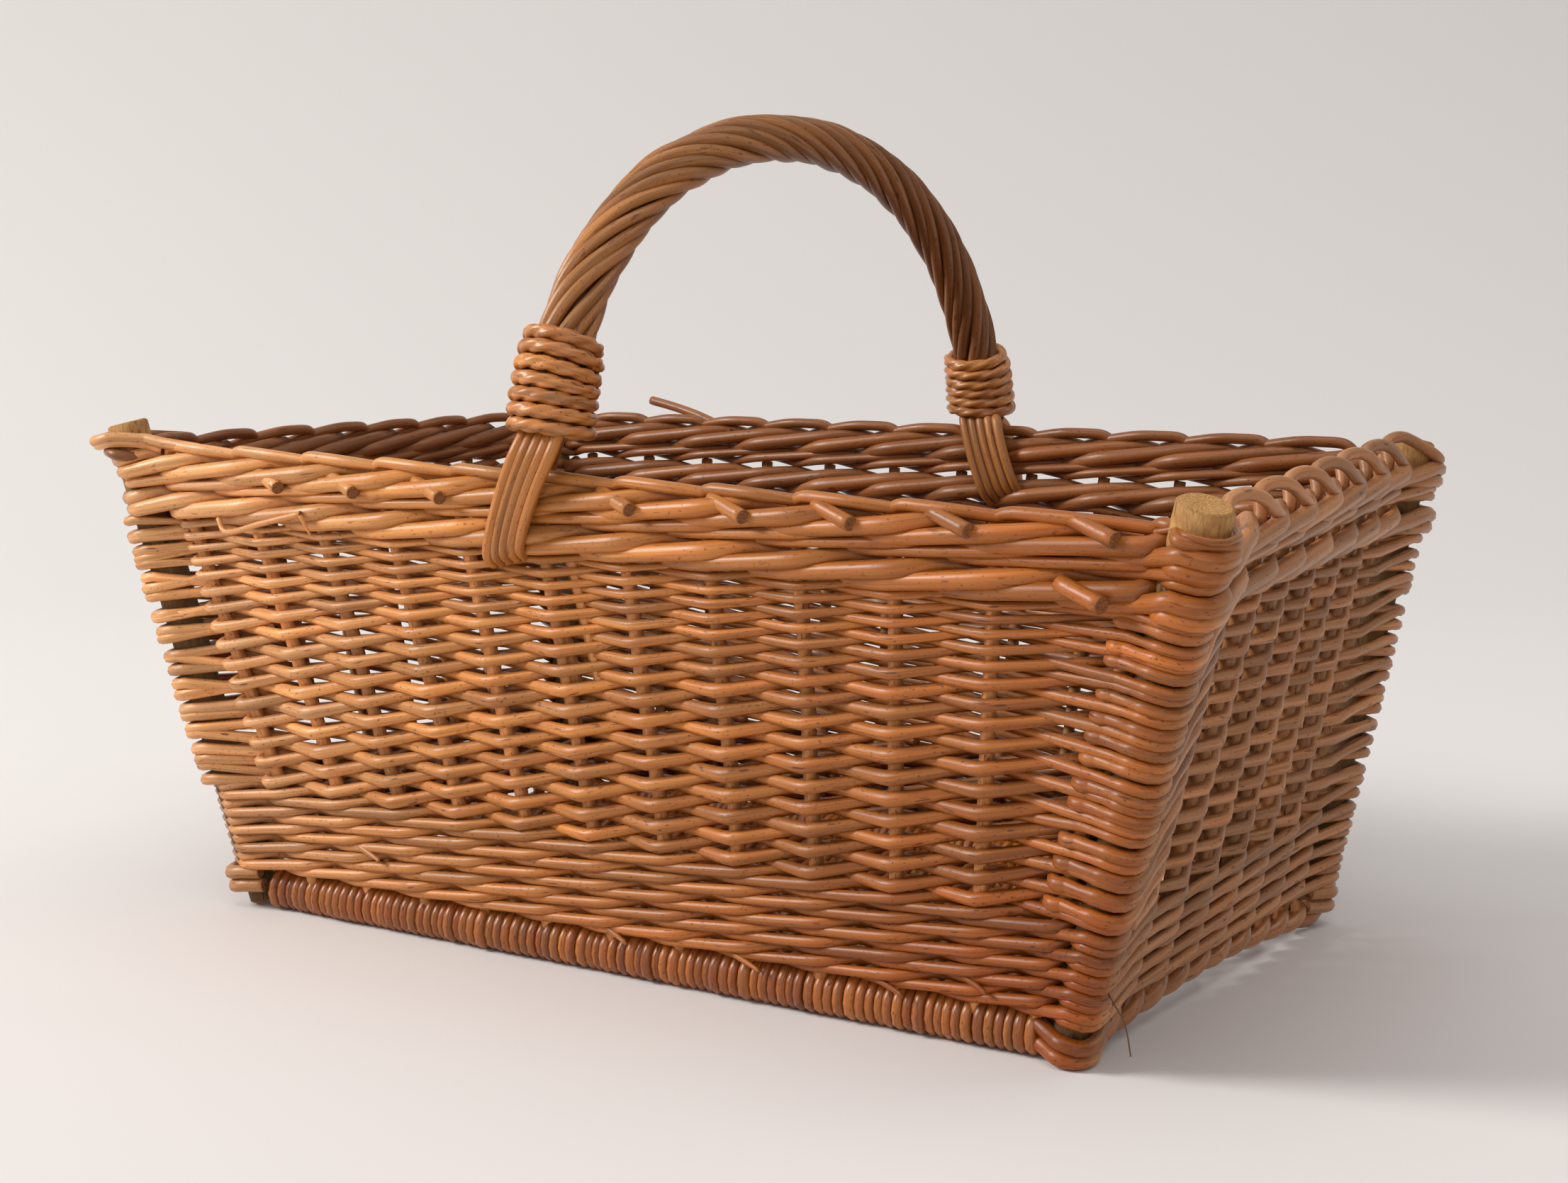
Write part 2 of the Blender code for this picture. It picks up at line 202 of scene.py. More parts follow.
UPRIGHTS = make_uprights()
LOOP = len(UPRIGHTS)
FOOT = np.array([foot for foot, _, _ in UPRIGHTS])
TOP = np.array([top for _, top, _ in UPRIGHTS])
WALL_AT = [wall for _, _, wall in UPRIGHTS]
POST_AT = [WALL_AT.index(wall) for wall in range(4)]
_, FRONT_RIGHT, REAR_RIGHT, REAR_LEFT = POST_AT
MEAN_HEIGHT = float(np.mean(TOP[:, 2]))


def wall_of(place):
    return WALL_AT[place % LOOP]


def is_post(place):
    return place % LOOP in POST_AT


def near_post(places, reach=1.0):
    """Which places have a corner post as their nearest upright, and lie within reach of it."""
    return np.array([is_post(round(place)) and abs(place - round(place)) < reach for place in places])


def upright_radius(place, level):
    return lerp(*POSTS[wall_of(place)][2:], level) if is_post(place) else STAKE_ROD


def wall_normal(wall):
    """Outward direction of a wall, square to its length and to its lean."""
    a, b = POSTS[wall], POSTS[(wall + 1) % 4]
    along = unit((b[0] + b[1]) - (a[0] + a[1]))
    lean = unit((a[1] + b[1]) - (a[0] + b[0]))
    return unit(np.cross(along, lean))


NORMALS = [wall_normal(wall) for wall in range(4)]


def layer_span(node, corners=range(4)):
    """Lowest and highest level of a layer of weaving between these corner posts."""
    low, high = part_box(node)
    heights = [POSTS[corner][1][2] for corner in corners]
    return low[2] / min(heights), high[2] / max(heights)


def wall_point(wall, x, z, outward):
    """Point on the front or rear wall's middle surface at this x and height, moved outwards."""
    left, right = (POSTS[0], POSTS[1]) if wall == "front" else (POSTS[3], POSTS[2])
    a = lerp(left[0], left[1], z / left[1][2])
    b = lerp(right[0], right[1], z / right[1][2])
    share = (x - a[0]) / (b[0] - a[0])
    return lerp(a, b, share) + NORMALS[WALLS.index(wall)] * outward


class Course:
    """Samples along the line of uprights from one place to another. A post's corner has extra
    samples that share its centre while the outward normal turns."""

    def __init__(self, start, end, per_span=SPAN_SAMPLES):
        stations = [(start, 0.0)]
        step = 1.0 / per_span
        place = math.floor(start / step + CLOSE) * step + step
        while place < end - CLOSE:
            here = round(place)
            if abs(place - here) < CLOSE and is_post(here):
                stations += [(float(here), i / CORNER_SAMPLES) for i in range(CORNER_SAMPLES + 1)]
            else:
                stations.append((place, 0.0))
            place += step
        stations.append((end, 0.0))
        self.place, turns = (np.array(values) for values in zip(*stations))
        self.lower = np.floor(self.place + CLOSE).astype(int)
        self.share = self.place - self.lower
        a, b = self.lower % LOOP, (self.lower + 1) % LOOP
        share = column(self.share)
        self.foot = FOOT[a] * (1 - share) + FOOT[b] * share
        self.top = TOP[a] * (1 - share) + TOP[b] * share
        self.normal = np.array([self.normal_at(*station) for station in zip(a, self.share, turns)])

    @staticmethod
    def normal_at(index, share, turn):
        """Outward direction: at a corner post it turns from the wall before to the one after."""
        wall = WALL_AT[index]
        if index not in POST_AT or share >= CLOSE:
            return NORMALS[wall]
        cosine, sine = math.cos(turn * TAU / 4), math.sin(turn * TAU / 4)
        squared = (cosine ** CORNER_POWER + sine ** CORNER_POWER) ** (-1 / CORNER_POWER)
        return (NORMALS[wall - 1] * cosine + NORMALS[wall] * sine) * squared

    def points(self, level, offset):
        level, offset = (np.broadcast_to(value, self.place.shape) for value in (level, offset))
        return self.foot + (self.top - self.foot) * column(level) + self.normal * column(offset)

    def woven(self, offset_at, sharpness=0.99):
        """Offsets given at whole places, joined by a triangle wave with rounded peaks. The
        nearer the sharpness is to 1, the tighter the bend over each upright."""
        first = np.array([offset_at(int(i)) for i in self.lower])
        second = np.array([offset_at(int(i) + 1) for i in self.lower])
        wave = np.arcsin(sharpness * np.cos(math.pi * self.share)) / math.asin(sharpness)
        return second + (first - second) * (0.5 + 0.5 * wave)


# --- colours ---

# From HONEY_LIGHT to ORANGE along the front: partly the willow's own tone, partly painted light from the key
# on the left
HONEY_LIGHT = srgb(214, 156, 100)
HONEY = srgb(196, 130, 64)
ORANGE = srgb(142, 70, 10)
RED_BROWN = srgb(138, 70, 30)
# painted shade: duller, darker colour for the short right side, which faces away from the key light
DULL_SHADE = srgb(172, 119, 76)
# painted shade: darker colour for the rods of the walls and base that are seen from inside the basket
INSIDE_SHADE = srgb(138, 84, 43)
OCHRE = srgb(196, 148, 88)
PITH = srgb(128, 80, 45)
STAKE_TAN = srgb(206, 142, 84)
HANDLE_LIGHT = srgb(164, 109, 58)
HANDLE_DARK = srgb(128, 80, 42)
BINDING = srgb(176, 110, 58)
FLOOR = srgb(222, 219, 217)
HUE_SHIFT = np.array([0.4, -0.3, -2.0])     # what a step of hue does to red, green and blue
RIM_SPREAD = 0.10


def mixed(a, b, t):
    t = column(np.atleast_1d(t))
    return a * (1 - t) + b * t


def rod_brightness(spread=0.16):
    return float(np.clip(rng.normal(1.0, spread), 0.7, 1.3))


def wall_colour(points, normals, spread=0.13):
    """Colour of a rod of the walls: honey at the front left, more orange to the right, partly own
    tone and partly painted light from the key on the left, and more orange low down. Painted
    shade makes the short right side dull and the rear and left walls, seen from inside, darker."""
    # painted light: lighter and less orange towards the left, where the key light falls, on top of the
    # willow's own tone
    rightwards = smooth((points[:, 0] + 0.16) / 0.40)
    low_down = smooth((0.11 - points[:, 2]) / 0.11)
    front = mixed(HONEY_LIGHT, HONEY, smooth((points[:, 0] + 0.25) / 0.2))
    warm = np.clip(0.75 * rightwards + 0.35 * low_down, 0, 1)
    front = mixed(front, ORANGE, warm)
    front_share = smooth((-normals[:, 1] - 0.25) / 0.6)
    right_share = smooth((normals[:, 0] - 0.1) / 0.5)
    # painted shade: duller on the right side, darker on the rear and left walls seen from inside
    colour = mixed(mixed(INSIDE_SHADE, DULL_SHADE, right_share), front, front_share)
    hue = rng.normal(0, 0.035)
    return colour * rod_brightness(spread) * (1 + hue * HUE_SHIFT)


def rim_colour(points, normals):
    return wall_colour(points, normals, RIM_SPREAD)


# --- rods as tubes ---

SHORTEST_STEP = 0.05 * MM   # samples of a rod that lie nearer each other are dropped
NO_TURN = 1e-18             # square of a turn too small to follow
LOBES = 3                   # a twisted reed has lobes, this deep, that turn by this per metre
LOBE_DEPTH = 0.30
LOBE_TWIST = 240.0
UV_PER_METRE = 10.0
UV_SPREAD = 50.0            # each rod starts somewhere else in the texture
RIM_INSET = 0.86            # share of the radius left inside an end's bevel
CUT_CAP = 0.10, 0.06        # how far a cap's rim and middle stand out, in radii
DOMED_CAP = 0.3, 0.45


def mirrored(vector, axis):
    return vector - (2 / (axis @ axis)) * (axis @ vector) * axis


def carried_frames(points):
    """Unit tangents, and normals and binormals carried along the path without twist."""
    tangents = unit(np.gradient(points, axis=0))
    start = UP if abs(tangents[0] @ UP) <= 0.9 else np.array([0.0, 1.0, 0.0])
    normal = unit(start - (start @ tangents[0]) * tangents[0])
    normals = [normal]
    for i in range(1, len(points)):
        step = points[i] - points[i - 1]
        normal = mirrored(normal, step)
        turn = tangents[i] - mirrored(tangents[i - 1], step)
        if turn @ turn > NO_TURN:
            normal = mirrored(normal, turn)
        normal = unit(normal - (normal @ tangents[i]) * tangents[i])
        normals.append(normal)
    normals = np.array(normals)
    return tangents, normals, np.cross(tangents, normals)


class Rods:
    """Collects tubes and makes them one mesh object with a colour that holds the rods' own tones and painted
    shade, a cut mark and rod UVs.
    """

    def __init__(self):
        self.points = []
        self.faces = []
        self.uvs = []
        self.dyes_and_shades = []
        self.smooth = []
        self.count = 0

    def add(self, points, radius, colour, sides=8, cut_ends=(True, True), twisted=False):
        points = np.asarray(points, float)
        keep = np.concatenate([[True], np.linalg.norm(np.diff(points, axis=0), axis=1) > SHORTEST_STEP])
        points = points[keep]
        radius = np.broadcast_to(radius, keep.shape)[keep]
        colour = np.broadcast_to(colour, (len(keep), 3))[keep]
        tangents, normals, binormals = carried_frames(points)
        distance = lengths_along(points)
        angles = np.arange(sides) * TAU / sides
        reach = np.tile(column(radius), sides)
        if twisted:
            phase = LOBES * (angles - LOBE_TWIST * column(distance))
            reach = reach * (1 - LOBE_DEPTH * (1 - np.abs(np.cos(phase / 2))))
        rings = (points[:, None, :] + normals[:, None, :] * (reach * np.sin(angles))[:, :, None]
                 + binormals[:, None, :] * (reach * np.cos(angles))[:, :, None])
        first = self.count
        last = first + (len(points) - 1) * sides
        self.points.append(rings.reshape(-1, 3))
        self.dyes_and_shades.append(np.column_stack([np.repeat(colour, sides, axis=0), np.zeros(len(points) * sides)]))
        i, j = np.indices((len(points) - 1, sides)).reshape(2, -1)
        k = (j + 1) % sides
        quads = np.column_stack([i * sides + j, i * sides + k, (i + 1) * sides + k, (i + 1) * sides + j])
        self.faces.extend((quads + first).tolist())
        along = distance * UV_PER_METRE + rng.uniform(0.0, 1.0) * UV_SPREAD
        corners = ((i, j), (i, j + 1), (i + 1, j + 1), (i + 1, j))
        uvs = [np.column_stack([along[ring], side / sides]) for ring, side in corners]
        self.uvs.append(np.stack(uvs, axis=1).reshape(-1, 2))
        self.smooth.extend([True] * len(quads))
        self.count += len(points) * sides
        self.cap(rings[0], points[0], -tangents[0] * radius[0], colour[0], first, False, cut_ends[0])
        self.cap(rings[-1], points[-1], tangents[-1] * radius[-1], colour[-1], last, True, cut_ends[1])

    def cap(self, ring, centre, outward, colour, first, forward, cut):
        """Closes an end: a bevelled flat face for a cut end, a low dome for a hidden one."""
        rim_out, middle_out = CUT_CAP if cut else DOMED_CAP
        inset = centre + (ring - centre) * RIM_INSET + outward * rim_out
        sides = len(ring)
        self.points.append(np.vstack([inset, centre + outward * middle_out]))
        self.dyes_and_shades.append(np.tile([*(PITH if cut else colour), float(cut)], (sides + 1, 1)))
        inner = self.count
        self.count += sides + 1
        for j in range(sides):
            k = (j + 1) % sides
            ring_face = [first + j, inner + j, inner + k, first + k]
            fan_face = [inner + j, inner + sides, inner + k]
            if forward:
                ring_face.reverse()
                fan_face.reverse()
            self.faces += [ring_face, fan_face]
            self.uvs.append(np.full((7, 2), 0.5))
            self.smooth += [True, not cut]

    def build(self, name, material, slot, replaced=()):
        mesh = bpy.data.meshes.new(name)
        mesh.from_pydata(np.vstack(self.points).tolist(), [], self.faces)
        mesh.uv_layers.new(name="rod").data.foreach_set("uv", np.vstack(self.uvs).ravel())
        dye_and_shade = mesh.attributes.new("dye_and_shade", "FLOAT_COLOR", "POINT")
        dye_and_shade.data.foreach_set("color", np.vstack(self.dyes_and_shades).astype(np.float32).ravel())
        mesh.polygons.foreach_set("use_smooth", self.smooth)
        mesh.materials.append(material)
        mesh.update()
        piece = bpy.data.objects.new(name, mesh)
        bpy.context.scene.collection.objects.link(piece)
        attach(piece, "root")
        if replaced:
            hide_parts(*replaced)


# --- materials ---

# Noise along a rod: how closely it repeats lengthwise, then its scale, detail and roughness
FIBRE = 0.5, 6.0, 4.0, 0.6
BROAD = 1.1, 1.1, 2.0, 0.55
PATCHES = 3.0, 1.6, 3.0, 0.55
SPECKS = 22.0, 2.9, 2.0, 0.5
BUDS = 7.0, 1.9, 1.0, 0.4
SCUFFS = 5.0, 3.4, 5.0, 0.7
# Colours that multiply the rod's own
REDDER = (0.92, 0.62, 0.42)
DARKER = (0.26, 0.14, 0.08)
SCUFF_PALE = tuple(srgb(232, 205, 170))
POST_BLOTCH = tuple(srgb(150, 96, 52))
POST_SPLIT = tuple(srgb(84, 52, 30))
SAWN_DARK = tuple(srgb(150, 100, 52))
SAWN_LIGHT = tuple(srgb(216, 168, 100))
GRAIN_SQUASH = (1.0, 1.0, 0.12)     # draws the post's grain out along its height


class Nodes:
    """Short forms for building a node tree."""

    def __init__(self, material):
        self.tree = material.node_tree
        self.tree.nodes.clear()

    def new(self, kind, inputs=None, **settings):
        node = self.tree.nodes.new(kind)
        for key, value in settings.items():
            setattr(node, key, value)
        for key, value in (inputs or {}).items():
            self.give(node.inputs[key], value)
        return node

    def give(self, socket, value):
        if isinstance(value, bpy.types.NodeSocket):
            self.tree.links.new(value, socket)
        else:
            socket.default_value = value

    def maths(self, operation, a, b=0.0, clamp=False):
        return self.new("ShaderNodeMath", {0: a, 1: b}, operation=operation, use_clamp=clamp).outputs[0]

    def noise(self, vector, scale, detail=3.0, roughness=0.55):
        return self.new("ShaderNodeTexNoise", {"Vector": vector, "Scale": scale, "Detail": detail,
                                               "Roughness": roughness}).outputs["Fac"]

    def between(self, value, low, high, to_low=0.0, to_high=1.0):
        return self.new("ShaderNodeMapRange", {"Value": value, "From Min": low, "From Max": high,
                                               "To Min": to_low, "To Max": to_high}).outputs["Result"]

    def mix(self, factor, a, b, blend="MIX"):
        a, b = ((*value, 1.0) if isinstance(value, tuple) else value for value in (a, b))
        return self.new("ShaderNodeMix", {0: factor, 6: a, 7: b},
                        data_type="RGBA", blend_type=blend).outputs[2]

    def times(self, a, b):
        return self.mix(1.0, a, b, "MULTIPLY")

    def finish(self, colour, **constants):
        inputs = {key.replace("_", " "): value for key, value in constants.items()}
        shader = self.new("ShaderNodeBsdfPrincipled", {"Base Color": colour, **inputs})
        self.new("ShaderNodeOutputMaterial", {"Surface": shader.outputs[0]})


def new_material(name):
    material = bpy.data.materials.new(name)
    material.use_nodes = True
    return material, Nodes(material)


def willow(name, roughness=0.42, coat=0.15, speck=0.8, streak=0.42, scuff=0.3, bump=0.35):
    """Peeled willow: lengthwise streaks, dark specks and buds, pale scuffs, and a satin skin.
    The rod's colour comes from the mesh, its own tone with painted shade on some walls, and cut ends show
    rough brown pith."""
    material, n = new_material(name)
    dye_and_shade = n.new("ShaderNodeAttribute", attribute_name="dye_and_shade")
    cut = dye_and_shade.outputs["Alpha"]
    uv = n.new("ShaderNodeUVMap", uv_map="rod")
    parts = n.new("ShaderNodeSeparateXYZ", {0: uv.outputs[0]})
    angle = n.maths("MULTIPLY", parts.outputs[1], TAU)
    ring_x = n.maths("COSINE", angle)
    ring_y = n.maths("SINE", angle)

    def field(repeats, *noise):
        along = n.maths("MULTIPLY", parts.outputs[0], repeats)
        place = n.new("ShaderNodeCombineXYZ", {0: along, 1: ring_x, 2: ring_y}).outputs[0]
        return n.noise(place, *noise)

    fibre = field(*FIBRE)
    broad = field(*BROAD)
    patches = field(*PATCHES)
    specks = n.between(field(*SPECKS), 0.645, 0.69)
    buds = n.between(field(*BUDS), 0.70, 0.75)
    scuffs = n.between(field(*SCUFFS), 0.66, 0.76)

    tone = n.maths("MULTIPLY", n.between(fibre, 0.3, 0.7, 1 - streak * 0.5, 1 + streak * 0.4),
                   n.between(broad, 0.3, 0.7, 1 - streak * 0.7, 1 + streak * 0.6))
    grey = n.new("ShaderNodeCombineColor", {0: tone, 1: tone, 2: tone}).outputs[0]
    colour = n.times(dye_and_shade.outputs["Color"], grey)
    colour = n.mix(n.between(patches, 0.50, 0.72, 0.0, 0.6), colour, n.times(colour, REDDER))
    marks = n.maths("MULTIPLY", n.maths("MAXIMUM", specks, buds), speck)
    colour = n.mix(marks, colour, n.times(colour, DARKER))
    pale = n.mix(0.55, colour, SCUFF_PALE)
    colour = n.mix(n.maths("MULTIPLY", scuffs, scuff), colour, pale)
    end_grain = n.noise(n.new("ShaderNodeTexCoord").outputs["Object"], 1400.0)
    pith = n.mix(n.between(end_grain, 0.35, 0.65), tuple(PITH * 0.55), tuple(PITH * 1.5))
    colour = n.mix(cut, colour, pith)

    rough = n.maths("ADD", n.between(fibre, 0.3, 0.7, roughness - 0.08, roughness + 0.1),
                    n.maths("MULTIPLY", n.maths("ADD", scuffs, cut), 0.25), clamp=True)
    height = n.maths("ADD", n.maths("MULTIPLY", fibre, 0.5), n.maths("MULTIPLY", marks, -0.5))
    height = n.maths("ADD", height, n.maths("MULTIPLY", end_grain, n.maths("MULTIPLY", cut, 1.5)))
    relief = n.new("ShaderNodeBump", {"Height": height, "Strength": bump, "Distance": 0.4 * MM})
    n.finish(colour, Roughness=rough, Normal=relief.outputs[0], Coat_Weight=coat,
             Coat_Roughness=0.28, Specular_IOR_Level=0.35)
    return material


def sawn_wood(name):
    """Thick post wood: ochre, fibrous and split along the grain, rougher at the sawn top. The
    mesh's colour attribute paints shade on its sides only, darker where rods cover them."""
    material, n = new_material(name)
    dye_and_shade = n.new("ShaderNodeAttribute", attribute_name="dye_and_shade")
    cut = dye_and_shade.outputs["Alpha"]
    place = n.new("ShaderNodeTexCoord").outputs["Object"]
    stretch = n.new("ShaderNodeMapping", {"Vector": place, "Scale": GRAIN_SQUASH}).outputs[0]
    grain = n.noise(stretch, 900.0, 5.0, 0.65)
    blotch = n.noise(place, 130.0)
    splits = n.between(n.noise(stretch, 420.0), 0.60, 0.68)
    fibres = n.noise(place, 1500.0, 4.0, 0.7)
    colour = n.mix(n.between(grain, 0.3, 0.7), tuple(OCHRE * 0.55), tuple(OCHRE * 1.15))
    colour = n.mix(n.between(blotch, 0.45, 0.7, 0.0, 0.6), colour, POST_BLOTCH)
    colour = n.mix(n.maths("MULTIPLY", splits, 0.7), colour, POST_SPLIT)
    sawn = n.mix(n.between(fibres, 0.35, 0.65), SAWN_DARK, SAWN_LIGHT)
    colour = n.mix(cut, colour, sawn)
    colour = n.mix(cut, n.times(colour, dye_and_shade.outputs["Color"]), colour)
    height = n.maths("SUBTRACT", n.maths("ADD", grain, fibres), splits)
    relief = n.new("ShaderNodeBump", {"Height": height, "Strength": 0.6, "Distance": 0.6 * MM})
    n.finish(colour, Roughness=0.72, Normal=relief.outputs[0], Specular_IOR_Level=0.3)
    return material


wall_willow = willow("wall_willow")
rim_willow = willow("rim_willow", roughness=0.40, streak=0.34, speck=0.6)
stake_willow = willow("stake_willow", roughness=0.5, coat=0.1, scuff=0.35)
base_willow = willow("base_willow", roughness=0.34, coat=0.45, streak=0.4)
handle_willow = willow("handle_willow", roughness=0.42, coat=0.2, streak=0.45, speck=0.65)
binding_willow = willow("binding_willow", roughness=0.36, coat=0.35, streak=0.5, bump=0.6)
post_wood = sawn_wood("post_wood")


# --- posts and stakes ---

POST_LIFT = 0.42            # gap under a post's foot, in radii, which its lean needs
POST_SUNK = 0.8 * MM        # the rim's sawn cap stands above the tube's end by about this
SHADED = 0.28               # painted shade: brightness of a post where rods cover it, up to a share of its height
SHADED_TO = 0.84
POST_SAMPLES = 26
STAKE_SAMPLES = 24
SHADED_STAKE = 0.55         # painted shade: brightness of the stakes of the other three walls, which lie in shade
# Two extra sticks beside the front stake under the handle: shifts of their tops, and heights
HANDLE_STICKS = (6 * MM, 18 * MM)
STICK_LEAN = 8 * MM
STICK_TOP, STICK_FOOT = 168 * MM, 118 * MM


def build_posts():
    for corner, (foot, top, foot_radius, top_radius) in zip(CORNERS, POSTS):
        rods = Rods()
        axis = unit(top - foot)
        start = foot + axis * (foot_radius * POST_LIFT) / axis[2]
        end = top - axis * POST_SUNK
        t = np.linspace(0, 1, POST_SAMPLES)
        radius = lerp(foot_radius, top_radius, t) * (1 + 0.03 * wobble(t, 0.35))
        # painted shade: the post is darker below the rim, where the rods cover it
        shade = lerp(SHADED, 1.0, smooth((t - SHADED_TO) / 0.12))
        rods.add(straight(start, end, POST_SAMPLES), radius, np.tile(column(shade), 3), sides=20)
        rods.build(f"{corner}_post", post_wood, "post", [f"{corner}_corner_post"])


def build_stakes():
    t = np.linspace(0, 1, STAKE_SAMPLES)
    for wall, normal in zip(WALLS, NORMALS):
        rods = Rods()
        for name in stake_names(wall):
            low, high, _, _ = rod_line(name)
            stand_out = STAKE_STAND_OUT + 0.5 * MM * wobble(t, 0.4)
            points = straight(low, high, STAKE_SAMPLES) + normal * column(stand_out)
            radius = STAKE_ROD * (1 + 0.06 * wobble(t, 0.5))
            # painted shade: the stakes of the right, rear and left walls are darker than the front's
            tan = STAKE_TAN * (1.0 if wall == "front" else SHADED_STAKE)
            rods.add(points, radius, tan * rod_brightness())
        if wall == "front":
            add_handle_sticks(rods)
        rods.build(f"{wall}_stakes", stake_willow, "stake", stake_names(wall))


def add_handle_sticks(rods):
    low, high = box_of("front_outer_handle_fan")
    middle = (low[0] + high[0]) / 2
    for shift in HANDLE_STICKS:
        top = wall_point("front", middle + shift, STICK_TOP, -MM)
        foot = wall_point("front", middle + shift + STICK_LEAN, STICK_FOOT, -MM)
        rods.add(through([top, lerp(top, foot, 0.5), foot]), STAKE_ROD * 0.9, STAKE_TAN)


# --- siding ---

THROUGH_RODS = FRONT_ROWS // 2
SIDING_LOW, siding_top = layer_span("front_siding", (0, 1))
SIDING_HIGH = siding_top + SIDING_OVERLAP
PACKING = 1.32              # how much thicker than its row's half pitch a rod is
THINNER_BETWEEN = 0.17      # a rod is thinner between the uprights by this share
POST_SCATTER = 0.007        # unevenness of the rods' levels at the posts
STACK_SCATTER = 0.004
LEVEL_SCATTER = 0.0012
THROUGH_SHARE, TURNED_SHARE = 0.86, 0.98    # thickness of the stacked rods
END_BEFORE_POST = 0.35      # places from a corner post, or from a wall's start, to a rod's hidden end
END_PAST_POST = 1.4
TUCKED_END = 1.5
POST_HUG = 0.95             # share of its radius that a rod's middle stands off a corner post
TURN_POINTS = 8
# Ends of a rod that turns round a stake: distances along the wall behind the stake
TURN_START = (11 * MM, 4 * MM)


def row_levels(count, thinning):
    """Levels of a stack of rows and half their pitch: the rows thin towards the top."""
    steps = 1 - thinning * smooth((np.arange(count) / (count - 1) - 0.35) / 0.65)
    edges = np.concatenate([[0.0], np.cumsum(steps)]) / steps.sum()
    height = SIDING_HIGH - SIDING_LOW
    return SIDING_LOW + height * (edges[:-1] + edges[1:]) / 2, height * np.diff(edges) / 2


class Rows:
    """Levels of a wall's rows. A rod climbs one row from each upright to the next, and passes
    in front of a stake at every even row and behind one at every odd row."""

    def __init__(self, count, thinning, thickness):
        levels, halves = row_levels(count, thinning)
        self.thickness = thickness
        self.index = np.arange(-1, count + 1)
        self.levels = np.concatenate([[SIDING_LOW - halves[0]], levels, [SIDING_HIGH]])
        self.halves = np.concatenate([[halves[0]], halves, [halves[-1]]])

    def level(self, row):
        return np.interp(row, self.index, self.levels)

    def half(self, row):
        return np.interp(row, self.index, self.halves)

    def woven_level(self, row):
        """Behind a stake the rod already lies almost as high as where it next comes out."""
        climb = 2 * self.half(row) * (2 * STEEPNESS - 1)
        return self.level(row) + (row % 2) * climb


FRONT = Rows(FRONT_ROWS, 0.42, 1.05)
SIDE = Rows(SIDE_ROWS, 0.12, 0.84)
STACK_LEVELS, STACK_HALVES = row_levels(THROUGH_RODS + TURNED_ROWS, 0.15)


def right_stack_order():
    """Which rods lie at the front right post, bottom to top: ("through", front rod) or
    ("turned", number)."""
    items = [(i / (THROUGH_RODS - 1), "through", i) for i in range(THROUGH_RODS)]
    items += [((i + 0.45) / TURNED_ROWS, "turned", i) for i in range(TURNED_ROWS)]
    return [(kind, number) for _, kind, number in sorted(items)]


STACK_ORDER = right_stack_order()
RIGHT_ROWS = [item for item in STACK_ORDER if item not in [("through", i) for i in ENDED_RODS]]
TUCKED = {int((i + 0.5) * SIDE_ROWS / TUCKED_ROWS) for i in range(TUCKED_ROWS)}
LEFT_ROWS = [row for row in range(SIDE_ROWS) if row not in TUCKED]


def rod_offset(side, place, level, radius):
    if side > 0 and is_post(place):
        return upright_radius(place, level) + radius * POST_HUG
    return side * (upright_radius(place, level) + radius)


def level_noise(course):
    return LEVEL_SCATTER * wobble(course.place, 5.0)


def stake_turn(place, level, radius):
    """Path of a rod's start that comes from behind a stake and turns round its left side."""
    centre = lerp(FOOT[place], TOP[place], level)
    along = unit(lerp(FOOT[place + 1], TOP[place + 1], level) - centre)
    across = NORMALS[wall_of(place)] * (STAKE_ROD + radius)
    points = [centre - across + along * distance for distance in TURN_START]
    for i in range(1, TURN_POINTS):
        angle = math.pi * (1 - i / TURN_POINTS)
        squared = 1 + 0.10 * math.sin(2 * angle) ** 2
        points.append(centre + across * math.cos(angle) * squared
                      - along * (STAKE_ROD + radius) * 0.92 * math.sin(angle) * squared)
    return np.array(points)


